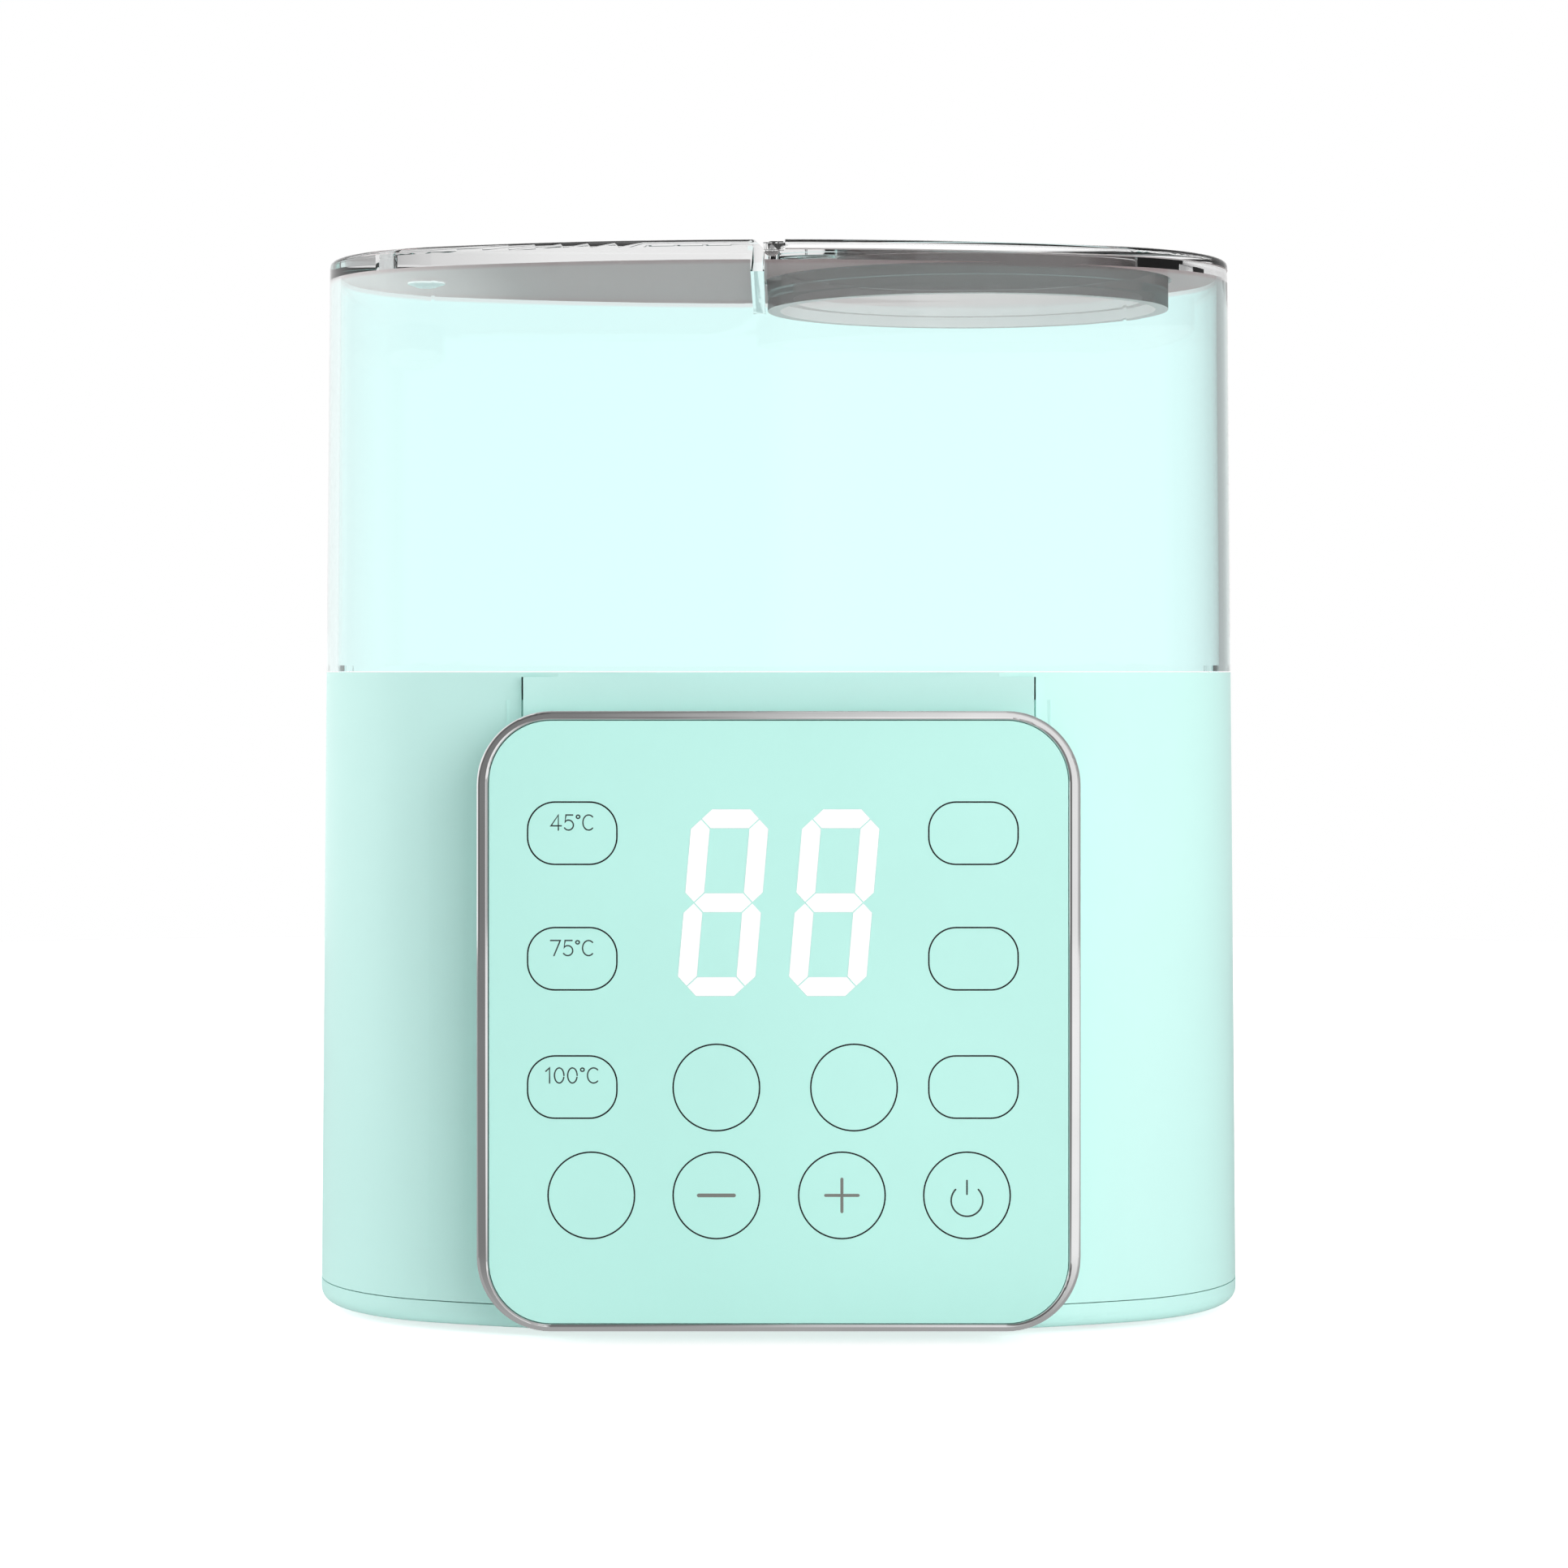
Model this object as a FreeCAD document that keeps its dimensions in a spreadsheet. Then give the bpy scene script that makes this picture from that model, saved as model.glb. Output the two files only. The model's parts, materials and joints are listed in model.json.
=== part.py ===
"""Twin bottle warmer and steriliser: oval base, clear lift-off cover, round-collar hatch and key panel.

Millimetres.  +Z is up, the front faces -Y, and the origin is on the standing surface under the middle
of the base.  "Depth" is the distance in front of the XZ plane, so the panel lies at positive depth.
"""
import FreeCAD, Part
import math
import os
import re
import Sketcher

SIZES = {
    # Plan outline: a four-centre oval, drawn at the foot and drafted inwards as it rises.
    "half_length": 105.0,
    "end_radius": 45.0,
    "front_radius": 201.0,
    "draft": 0.45,
    # Heights.
    "foot_height": 1.5,
    "seam_height": 6.7,
    "seam_gap": 0.2,
    "rim_height": 145.0,
    "rim_thickness": 1.0,
    "cover_top": 239.0,
    # Base shells.
    "wall": 2.6,
    "shell_step": 0.05,
    "bottom_fillet": 3.0,
    "tongue_height": 3.0,
    "tongue_gap": 0.3,
    "tongue_wall": 1.4,
    "tongue_open_half": 64.0,
    "floor_thickness": 2.4,
    "boss_radius": 4.2,
    "boss_height": 22.0,
    "boss_pilot": 16.0,
    "rib_half": 1.2,
    "rib_end": 103.2,
    "rib_back": 46.4,
    "rib_front": 43.5,
    "rib_clearance": 0.5,
    "fascia_depth": 50.0,
    "fascia_half_width": 55.7,
    "fascia_gap": 0.5,
    "lip_reach": 2.2,
    "lip_root": 3.8,
    "lip_gap": 0.3,
    "lip_thickness": 2.1,
    "ledge_top": 141.0,
    "ledge_thickness": 2.0,
    "ledge_root": 0.6,
    "ledge_inset": 9.5,
    # Tank, measured as insets from the plan outline.
    "tank_inset": 11.5,
    "tank_wall": 2.0,
    "tank_bottom": 38.0,
    "tank_floor": 2.5,
    "tank_flange_inset": 6.6,
    "flange_gap": 0.6,
    "skirt_gap": 0.2,
    "skirt_wall": 1.4,
    "skirt_drop": 5.0,
    "rim_inset": 1.13,
    "tab_near": 99.3,
    "tab_upper": 101.6,
    "tab_lower": 100.8,
    "tab_half": 5.0,
    "tab_room": 0.4,
    # Heater.
    "plate_radius": 40.0,
    "plate_thickness": 1.2,
    "plate_boss": 32.0,
    "plate_boss_depth": 4.8,
    "tank_hole": 34.0,
    "gasket_thickness": 0.8,
    "clamp_radius": 44.0,
    "clamp_hole": 20.0,
    "clamp_thickness": 2.5,
    "element_radius": 15.0,
    "element_tube": 3.0,
    "element_gap": 0.1,
    "element_pin": 1.2,
    "element_pin_length": 9.0,
    "heater_screw_circle": 26.0,
    "heater_screw_length": 4.6,
    "heater_screw_head": 1.4,
    # Basket.
    "well_x": 39.0,
    "well_radius": 34.6,
    "well_wall": 1.3,
    "well_bottom": 2.0,
    "drain_radius": 29.0,
    "well_floor": 44.0,
    "basket_top": 130.0,
    "basket_inset": 15.8,
    "basket_plate": 2.0,
    "stub_radius": 3.0,
    "post_pin": 2.0,
    "handle_span": 17.0,
    "handle_bar": 3.0,
    "handle_top": 144.0,
    # Cover and hatch.
    "cover_gap": 0.25,
    "cover_wall": 2.5,
    "ceiling": 234.7,
    "cover_fillet": 1.6,
    "hatch_thickness": 2.0,
    "hatch_gap": 0.3,
    "hatch_fillet": 1.2,
    "hinge_x": -1.5,
    "hinge_z": 237.4,
    "barrel_radius": 1.6,
    "barrel_half": 50.0,
    "pin_radius": 0.5,
    "lug_width": 3.2,
    "collar_x": 43.5,
    "collar_radius": 46.0,
    "collar_wall": 2.9,
    "collar_bottom": 228.1,
    "collar_gap": 0.75,
    "rib_left": -6.1,
    "rib_right": -3.1,
    "rib_bottom": 232.1,
    "vent_x": -81.0,
    "vent_radius": 2.35,
    "vent_flange": 4.5,
    # Panel, in front of the fascia.
    "panel_width": 130.0,
    "panel_low": 3.2,
    "panel_high": 136.7,
    "panel_corner": 16.0,
    "panel_depth": 62.0,
    "frame_back": 56.0,
    "frame_side": 2.7,
    "frame_top": 2.1,
    "frame_foot": 1.8,
    "face_recess": 0.3,
    "face_thickness": 2.0,
    "tray_front": 56.0,
    "tray_back": 50.3,
    "tray_wall": 1.5,
    "tray_inset": 0.6,
    "board_front": 57.0,
    "board_thickness": 1.6,
    "cable_slot_half": 9.0,
    "cable_slot_low": 16.0,
    "cable_slot_high": 24.0,
    "cable_slot_corner": 2.0,
    # Keys.
    "key_gap": 0.25,
    "key_round": 9.2,
    "key_width": 19.0,
    "key_height": 13.2,
    "key_corner": 5.8,
    "key_flange": 1.0,
    "key_flange_thickness": 0.6,
    "switch_height": 0.9,
    # Digits.
    "digit_low": 75.2,
    "digit_high": 115.7,
    "digit_width": 17.0,
    "digit_pitch": 23.9,
    "digit_lean": 5.0,
    "segment_width": 4.4,
    "segment_gap": 0.35,
    # Rear cord gland.
    "gland_z": 20.0,
    "gland_bore": 3.6,
    "gland_barrel": 6.0,
    "gland_flange": 8.5,
    "gland_back": 62.0,
    "gland_length": 15.0,
    "gland_nut_front": 49.2,
    "gland_nut_wall": 3.4,
    "gland_nut_length": 4.0,
    # Electronics in the base.
    "power_board_z": 14.0,
    "power_board_half_x": 55.0,
    "power_board_low_y": -24.0,
    "power_board_high_y": 38.0,
    "post_radius": 3.2,
    "screw_radius": 1.5,
    "screw_head": 2.8,
    "foot_radius": 7.0,
    "foot_recess": 1.0,
    "bore_gap": 0.1,
    "head_gap": 0.3,
    "head_seat": 1.4,
    "post_floor": 2.0,
    "wall_step": 1.5,
    "board_room": 40.0,
    "vent_pitch": 10.0,
    "vent_half": 1.5,
    "vent_reach": 14.0,
}

ROUND_KEYS = {
    "round_key_left": (-13.4, 55.7),
    "round_key_right": (16.2, 55.7),
    "timer_key": (-40.3, 32.5),
    "minus_key": (-13.4, 32.5),
    "plus_key": (13.6, 32.5),
    "power_key": (40.5, 32.5),
}
WIDE_KEYS = {
    "low_temp_key": (-44.4, 110.4),
    "mid_temp_key": (-44.4, 83.4),
    "high_temp_key": (-44.4, 55.8),
    "upper_mode_key": (41.9, 110.4),
    "middle_mode_key": (41.9, 83.4),
    "lower_mode_key": (41.9, 55.8),
}
BASKET_FEET = ((-61.6, -22.6), (-61.6, 22.6), (61.6, -22.6), (61.6, 22.6))
BASE_SCREWS = ((-92.0, 0.0), (92.0, 0.0), (-60.0, 36.0), (60.0, 36.0), (-68.0, -32.0), (68.0, -32.0))
VENT_ROWS = 3
ELEMENT_END = 65
QUARTERS = ((1, 0), (0, 1), (-1, 0), (0, -1))
FEET = ((-72.0, -20.0), (72.0, -20.0), (-72.0, 20.0), (72.0, 20.0))
BOARD_POSTS = ((-50.0, -19.0), (50.0, -19.0), (-50.0, 33.0), (50.0, 33.0))
PANEL_POSTS = ((-54.0, 97.0), (54.0, 97.0), (-54.0, 44.0), (54.0, 44.0))
PANEL_SCREWS = ((-40.0, 100.0), (40.0, 100.0), (-40.0, 44.0), (40.0, 44.0))

doc = FreeCAD.newDocument("bottle_warmer")
kept = []


# ---------------------------------------------------------------------------------------------------
# Sheet and formulas
# ---------------------------------------------------------------------------------------------------

def make_sheet():
    sheet = doc.addObject("Spreadsheet::Sheet", "Sizes")
    for row, (alias, value) in enumerate(SIZES.items(), start=1):
        sheet.set("A%d" % row, alias)
        sheet.set("B%d" % row, str(value))
        sheet.setAlias("B%d" % row, alias)
    doc.recompute()
    return sheet


sheet = make_sheet()


def bound(formula):
    """The formula with each alias written as a reference to its cell."""
    def reference(match):
        word = match.group(0)
        return "Sizes." + word if word in SIZES else word
    return re.sub(r"[a-z_]+", reference, str(formula))


def number(formula):
    """The formula's present value."""
    return float(sheet.evalExpression(bound(formula)))


def bind(feature, **formulas):
    """Drive each named property by its formula."""
    for name, formula in formulas.items():
        feature.setExpression(name, bound(formula))


def place(feature, x=0, y=0, z=0):
    """Drive the feature's position by formulas."""
    for axis, formula in (("x", x), ("y", y), ("z", z)):
        feature.setExpression("Placement.Base." + axis, bound(formula))


# ---------------------------------------------------------------------------------------------------
# Sketches
# ---------------------------------------------------------------------------------------------------

def new_body(label):
    body = doc.addObject("PartDesign::Body", label)
    body.Label = label
    kept.append(body)
    return body


def new_sketch(body, plane, offset=0):
    role = {"XY": "XY_Plane", "XZ": "XZ_Plane", "YZ": "YZ_Plane"}[plane]
    support = next(item for item in body.Origin.OriginFeatures if item.Role == role)
    sketch = body.newObject("Sketcher::SketchObject", body.Name + "_sketch")
    sketch.AttachmentSupport = [(support, "")]
    sketch.MapMode = "FlatFace"
    sketch.setExpression("AttachmentOffset.Base.z", bound(offset))
    return sketch


def dimension(sketch, kind, where, formula):
    """One driving constraint bound to a formula."""
    index = sketch.addConstraint(Sketcher.Constraint(kind, *where, number(formula)))
    sketch.setExpression("Constraints[%d]" % index, bound(formula))


def fix_point(sketch, item, end, x, y):
    """Hold a point at (x, y) from the sketch's origin."""
    for kind, formula, axis in (("DistanceX", x, -2), ("DistanceY", y, -1)):
        if abs(number(formula)) < 1e-9:
            sketch.addConstraint(Sketcher.Constraint("PointOnObject", item, end, axis))
        else:
            dimension(sketch, kind, (-1, 1, item, end), formula)


def draw_polygon(sketch, points):
    """A closed outline through the given (x, y) formulas."""
    spots = [FreeCAD.Vector(number(x), number(y), 0) for x, y in points]
    first = len(sketch.Geometry)
    count = len(spots)
    for index in range(count):
        sketch.addGeometry(Part.LineSegment(spots[index], spots[(index + 1) % count]))
    for index in range(count):
        following = first + (index + 1) % count
        sketch.addConstraint(Sketcher.Constraint("Coincident", first + index, 2, following, 1))
    for index, (x, y) in enumerate(points):
        fix_point(sketch, first + index, 1, x, y)


def both_sides(near, far):
    """The stretch from near to far on each side of the middle, each as a pair in rising order."""
    return ("0 - (%s)" % far, "0 - (%s)" % near), (near, far)


def draw_box(sketch, left, right, low, high):
    draw_polygon(sketch, ((left, low), (right, low), (right, high), (left, high)))


def draw_circle(sketch, x, y, radius):
    centre = FreeCAD.Vector(number(x), number(y), 0)
    up = FreeCAD.Vector(0, 0, 1)
    item = sketch.addGeometry(Part.Circle(centre, up, number(radius)))
    fix_point(sketch, item, 3, x, y)
    dimension(sketch, "Radius", (item,), radius)


def draw_round_box(sketch, left, right, low, high, radius):
    """A rectangle with four equal round corners."""
    x_low, x_high, y_low, y_high = (number(value) for value in (left, right, low, high))
    size = number(radius)
    up = FreeCAD.Vector(0, 0, 1)
    corners = ((x_high - size, y_low + size, 270), (x_high - size, y_high - size, 0),
               (x_low + size, y_high - size, 90), (x_low + size, y_low + size, 180))
    first = len(sketch.Geometry)
    arcs = []
    for x, y, start in corners:
        circle = Part.Circle(FreeCAD.Vector(x, y, 0), up, size)
        low_angle = FreeCAD.Units.Quantity("%d deg" % start).getValueAs("rad").Value
        arcs.append(Part.ArcOfCircle(circle, low_angle, low_angle + 1.5707963))
    for index in range(4):
        sketch.addGeometry(Part.LineSegment(arcs[index - 1].EndPoint, arcs[index].StartPoint))
        sketch.addGeometry(arcs[index])
    for index in range(4):
        line = first + 2 * index
        arc = line + 1
        following = first + (2 * index + 2) % 8
        sketch.addConstraint(Sketcher.Constraint("Tangent", line, 2, arc, 1))
        sketch.addConstraint(Sketcher.Constraint("Tangent", arc, 2, following, 1))
        sketch.addConstraint(Sketcher.Constraint(("Horizontal", "Vertical")[index % 2], line))
    for index in range(1, 4):
        sketch.addConstraint(Sketcher.Constraint("Equal", first + 1, first + 1 + 2 * index))
    dimension(sketch, "Radius", (first + 1,), radius)
    for kind, line, formula in (("DistanceY", 0, low), ("DistanceX", 2, right),
                                ("DistanceY", 4, high), ("DistanceX", 6, left)):
        dimension(sketch, kind, (-1, 1, first + line, 1), formula)


def draw_oval(sketch, inset):
    """The plan outline, or one parallel to it at an inset."""
    end_radius = number("end_radius - (%s)" % inset)
    front_radius = number("front_radius - (%s)" % inset)
    end_x = number("half_length - end_radius")
    front_y = ((front_radius - end_radius) ** 2 - end_x ** 2) ** 0.5
    meet_x = end_x * front_radius / (front_radius - end_radius)
    meet_y = front_y * end_radius / (front_radius - end_radius)

    reach_x = end_x + end_radius
    reach_y = front_radius - front_y
    corners = ((meet_x, -meet_y), (meet_x, meet_y), (-meet_x, meet_y), (-meet_x, -meet_y))
    middles = ((reach_x, 0), (0, reach_y), (-reach_x, 0), (0, -reach_y))
    first = len(sketch.Geometry)
    for index in range(4):
        through = (corners[index], middles[index], corners[(index + 1) % 4])
        sketch.addGeometry(Part.Arc(*(FreeCAD.Vector(x, y, 0) for x, y in through)))
    right, back, left, front = range(first, first + 4)
    sketch.addConstraint([
        Sketcher.Constraint("Tangent", right, 2, back, 1),
        Sketcher.Constraint("Coincident", back, 2, left, 1),
        Sketcher.Constraint("Coincident", left, 2, front, 1),
        Sketcher.Constraint("Coincident", front, 2, right, 1),
        Sketcher.Constraint("Symmetric", back, 1, back, 2, -2),
        Sketcher.Constraint("Symmetric", right, 1, right, 2, -1),
        Sketcher.Constraint("Symmetric", front, 1, front, 2, -2),
        Sketcher.Constraint("Equal", right, left),
        Sketcher.Constraint("Equal", back, front),
    ])
    dimension(sketch, "Radius", (right,), "end_radius - (%s)" % inset)
    dimension(sketch, "Radius", (back,), "front_radius - (%s)" % inset)
    dimension(sketch, "DistanceX", (-1, 1, right, 3), "half_length - end_radius")


# ---------------------------------------------------------------------------------------------------
# Solid features.  "low" and "high" are places along the plane's normal: Z for XY, depth for XZ.
# ---------------------------------------------------------------------------------------------------

def add_slab(body, plane, low, high, draw, draft=None):
    """Add material between two levels; draw(sketch) makes the outline."""
    sketch = new_sketch(body, plane, low)
    draw(sketch)
    pad = body.newObject("PartDesign::Pad", body.Name + "_pad")
    pad.Profile = sketch
    bind(pad, Length="(%s) - (%s)" % (high, low))
    if draft:
        bind(pad, TaperAngle="0 - " + draft)
    body.Tip = pad
    return pad


def cut_slab(body, plane, low, high, draw, draft=None):
    """Remove material between two levels; the sketch is on the low one."""
    sketch = new_sketch(body, plane, low)
    draw(sketch)
    pocket = body.newObject("PartDesign::Pocket", body.Name + "_pocket")
    pocket.Profile = sketch
    pocket.Reversed = True
    bind(pocket, Length="(%s) - (%s)" % (high, low))
    if draft:
        bind(pocket, TaperAngle="0 - " + draft)
    body.Tip = pocket
    return pocket


def round_edges(body, radius, picks):
    """Fillet the edges of the body's present shape for which picks(edge) holds."""
    doc.recompute()
    base = body.Tip
    names = ["Edge%d" % (index + 1) for index, edge in enumerate(base.Shape.Edges) if picks(edge)]
    fillet = body.newObject("PartDesign::Fillet", body.Name + "_fillet")
    fillet.Base = (base, names)
    bind(fillet, Radius=radius)
    body.Tip = fillet
    return fillet


def at_level(axis, level):
    """Picks the edges that lie flat at a level."""
    def picks(edge):
        box = edge.BoundBox
        low, high = (box.ZMin, box.ZMax) if axis == "z" else (box.YMin, box.YMax)
        return abs(low - level) < 0.01 and abs(high - level) < 0.01
    return picks


def revolve(body, points):
    """A turned solid about its own Z axis from (radius, height) formulas."""
    sketch = new_sketch(body, "XZ")
    draw_polygon(sketch, points)
    turn = body.newObject("PartDesign::Revolution", body.Name + "_turn")
    turn.Profile = sketch
    turn.ReferenceAxis = (sketch, ["V_Axis"])
    turn.Angle = 360
    body.Tip = turn
    return turn


def turn_about_y(body, x, y, z):
    """Lay a turned solid down so that its own Z axis points along +Y."""
    body.Placement = FreeCAD.Placement(FreeCAD.Vector(), FreeCAD.Rotation(FreeCAD.Vector(1, 0, 0), -90))
    place(body, x, y, z)


def cylinder(name, radius, height, x, y, z, along="z"):
    """A cylinder that starts at (x, y, z) and runs along +Z or +Y."""
    item = doc.addObject("Part::Cylinder", name)
    bind(item, Radius=radius, Height=height)
    if along == "y":
        turned = FreeCAD.Rotation(FreeCAD.Vector(1, 0, 0), -90)
        item.Placement = FreeCAD.Placement(FreeCAD.Vector(), turned)
    place(item, x, y, z)
    return item


def block(name, length, width, height, x, y, z):
    """A box centred on x and y that stands on z."""
    item = doc.addObject("Part::Box", name)
    bind(item, Length=length, Width=width, Height=height)
    place(item, "(%s) - (%s) / 2" % (x, length), "(%s) - (%s) / 2" % (y, width), z)
    return item


def join(label, items, keep=True):
    """Fuse the items into one solid."""
    fuse = doc.addObject("Part::MultiFuse", label)
    fuse.Shapes = items
    if keep:
        fuse.Label = label
        kept.append(fuse)
    return fuse


def cut(label, base, tool, keep=True):
    piece = doc.addObject("Part::Cut", label)
    piece.Base = base
    piece.Tool = tool
    if keep:
        piece.Label = label
        kept.append(piece)
    return piece


def group(label, items):
    """Identical separate solids that share one node."""
    compound = doc.addObject("Part::Compound", label)
    compound.Links = items
    compound.Label = label
    kept.append(compound)
    return compound


def ring(label, outer, inner, low, height, keep=True, x=0, y=0):
    """A flat ring on the vertical axis through (x, y)."""
    body = cylinder(label + "_outer", outer, height, x, y, low)
    hole = cylinder(label + "_hole", inner, height, x, y, low)
    return cut(label, body, hole, keep)


def screw(name, shank_length, head_height, x, y, z, along):
    """A pan-head screw from its head's outer face at (x, y, z), along "+z", "-z" or "-y"."""
    turns = {"+z": FreeCAD.Rotation(), "-z": FreeCAD.Rotation(FreeCAD.Vector(1, 0, 0), 180),
             "-y": FreeCAD.Rotation(FreeCAD.Vector(1, 0, 0), 90)}
    head = cylinder(name + "_head", "screw_head", head_height, 0, 0, 0)
    shank = cylinder(name + "_shank", "screw_radius", shank_length, 0, 0, head_height)
    item = join(name, [head, shank], keep=False)
    item.Placement = FreeCAD.Placement(FreeCAD.Vector(), turns[along])
    place(item, x, y, z)
    return item


# ---------------------------------------------------------------------------------------------------
# Base shells
# ---------------------------------------------------------------------------------------------------

def flat_front(sketch):
    """The part of the plan in front of the fascia plane, which the flat front removes."""
    draw_box(sketch, "0 - half_length", "half_length", "0 - half_length", "0 - fascia_depth")


def make_outer_housing():
    body = new_body("outer_housing")
    low = "seam_height + seam_gap"
    high = "rim_height - rim_thickness"
    add_slab(body, "XY", low, high, lambda sketch: draw_oval(sketch, "shell_step"), draft="draft")
    cut_slab(body, "XY", low, high, lambda sketch: draw_oval(sketch, "shell_step + wall"), draft="draft")

    def ledge(sketch):
        draw_oval(sketch, "wall + ledge_root")
        draw_oval(sketch, "ledge_inset")
    add_slab(body, "XY", "ledge_top - ledge_thickness", "ledge_top", ledge)
    half = "fascia_half_width + fascia_gap"
    cut_slab(body, "XY", low, high,
             lambda sketch: draw_box(sketch, "0 - (%s)" % half, half, "0 - half_length", "0"))
    lip_front = "lip_gap + wall - fascia_depth"
    for near, far in both_sides("fascia_half_width - lip_reach", "fascia_half_width + lip_root"):
        add_slab(body, "XY", low, "ledge_top - ledge_thickness",
                 lambda sketch: draw_box(sketch, near, far, lip_front, lip_front + " + lip_thickness"))

    def bosses(sketch):
        for x, y in BASE_SCREWS:
            draw_circle(sketch, x, y, "boss_radius")
    add_slab(body, "XY", low, "seam_height + boss_height", bosses)

    def ribs(sketch):
        for x, y in BASE_SCREWS:
            if y == 0:
                left, right = (x, "rib_end") if x > 0 else ("0 - rib_end", x)
                draw_box(sketch, left, right, "0 - rib_half", "rib_half")
            else:
                front, back = (y, "rib_back") if y > 0 else ("0 - rib_front", y)
                draw_box(sketch, "%s - rib_half" % x, "%s + rib_half" % x, front, back)
    add_slab(body, "XY", "seam_height + tongue_height + rib_clearance", "seam_height + boss_height", ribs)

    def pilots(sketch):
        for x, y in BASE_SCREWS:
            draw_circle(sketch, x, y, "screw_radius")
    cut_slab(body, "XY", low, "seam_height + boss_pilot", pilots)
    cut_slab(body, "XZ", "0 - half_length", "0 - gland_nut_front",
             lambda sketch: draw_circle(sketch, 0, "gland_z", "gland_barrel + bore_gap"))


def make_base_cover():
    body = new_body("base_cover")
    add_slab(body, "XY", "foot_height", "seam_height", lambda sketch: draw_oval(sketch, 0))
    doc.recompute()
    level = number("foot_height")
    round_edges(body, "bottom_fillet", at_level("z", level))
    cut_slab(body, "XY", "foot_height + floor_thickness", "seam_height",
             lambda sketch: draw_oval(sketch, "wall"))

    def tongue(sketch):
        draw_oval(sketch, "wall + tongue_gap")
        draw_oval(sketch, "wall + tongue_gap + tongue_wall")
    add_slab(body, "XY", "foot_height + floor_thickness - tongue_gap", "seam_height + tongue_height", tongue)
    cut_slab(body, "XY", "seam_height", "seam_height + tongue_height",
             lambda sketch: draw_box(sketch, "0 - tongue_open_half", "tongue_open_half", "0 - half_length",
                                     "0 - board_room"))
    cut_slab(body, "XY", "foot_height", "seam_height", flat_front)

    def front_wall(sketch):
        draw_box(sketch, "0 - fascia_half_width", "fascia_half_width", "0 - fascia_depth",
                 "wall - fascia_depth")
    add_slab(body, "XY", "foot_height + wall_step", "seam_height", front_wall)

    def posts(sketch):
        for x, y in BOARD_POSTS:
            draw_circle(sketch, x, y, "post_radius")
    add_slab(body, "XY", "foot_height + floor_thickness", "power_board_z", posts)

    def pilots(sketch):
        for x, y in BOARD_POSTS:
            draw_circle(sketch, x, y, "screw_radius")
    cut_slab(body, "XY", "foot_height + floor_thickness + post_floor", "power_board_z", pilots)

    def spacers(sketch):
        for x, y in BASE_SCREWS:
            draw_circle(sketch, x, y, "boss_radius")
    add_slab(body, "XY", "foot_height + floor_thickness", "seam_height", spacers)

    def screw_holes(sketch):
        for x, y in BASE_SCREWS:
            draw_circle(sketch, x, y, "screw_radius + bore_gap")
    cut_slab(body, "XY", "foot_height", "seam_height", screw_holes)

    def head_seats(sketch):
        for x, y in BASE_SCREWS:
            draw_circle(sketch, x, y, "screw_head + head_gap")
    cut_slab(body, "XY", "foot_height", "foot_height + head_seat", head_seats)

    def foot_seats(sketch):
        for x, y in FEET:
            draw_circle(sketch, x, y, "foot_radius")
    cut_slab(body, "XY", "foot_height", "foot_height + foot_recess", foot_seats)

    def vents(sketch):
        for row in range(-VENT_ROWS, VENT_ROWS + 1):
            middle = "vent_pitch * %d" % row
            draw_box(sketch, middle + " - vent_half", middle + " + vent_half", "0 - vent_reach", "vent_reach")
    cut_slab(body, "XY", "foot_height", "foot_height + floor_thickness", vents)


def cable_slot(sketch):
    """The ribbon cable's way through the fascia and the panel's tray."""
    draw_round_box(sketch, "0 - cable_slot_half", "cable_slot_half", "cable_slot_low", "cable_slot_high",
                   "cable_slot_corner")


def make_front_fascia():
    body = new_body("front_fascia")
    low = "seam_height + seam_gap"
    high = "rim_height - rim_thickness"

    def plate(sketch):
        draw_box(sketch, "0 - fascia_half_width", "fascia_half_width", low, high)
    add_slab(body, "XZ", "fascia_depth - wall", "fascia_depth", plate)

    cut_slab(body, "XZ", "fascia_depth - wall", "fascia_depth", cable_slot)

    def screw_holes(sketch):
        for x, z in PANEL_SCREWS:
            draw_circle(sketch, x, z, "screw_radius + bore_gap")
    cut_slab(body, "XZ", "fascia_depth - wall", "fascia_depth", screw_holes)


def make_rubber_feet():
    feet = [cylinder("foot_%d" % index, "foot_radius - 0.05", "foot_height + foot_recess", x, y, 0)
            for index, (x, y) in enumerate(FEET)]
    group("rubber_feet", feet)


def make_base_screws():
    items = [screw("base_screw_%d" % index, 11, 1.2, x, y, "foot_height + 0.2", "+z")
             for index, (x, y) in enumerate(BASE_SCREWS)]
    group("base_screws", items)


def make_cord_gland():
    body = new_body("cord_gland")
    revolve(body, (("gland_bore", 0), ("gland_barrel", 0), ("gland_barrel", 10.1), ("gland_flange", 10.1),
                   ("gland_flange", 12), ("gland_barrel - 0.6", "gland_length"),
                   ("gland_bore", "gland_length")))
    turn_about_y(body, 0, "gland_back - gland_length", "gland_z")
    nut = doc.addObject("Part::Prism", "gland_nut_body")
    nut.Polygon = 6
    bind(nut, Circumradius="gland_barrel + gland_nut_wall", Height="gland_nut_length")
    nut.Placement = FreeCAD.Placement(FreeCAD.Vector(), FreeCAD.Rotation(FreeCAD.Vector(1, 0, 0), -90))
    place(nut, 0, "gland_nut_front", "gland_z")
    hole = cylinder("gland_nut_hole", "gland_barrel + 0.02", "gland_nut_length", 0, "gland_nut_front", "gland_z",
                    along="y")
    cut("gland_nut", nut, hole)


# ---------------------------------------------------------------------------------------------------
# Tank and heater
# ---------------------------------------------------------------------------------------------------

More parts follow.
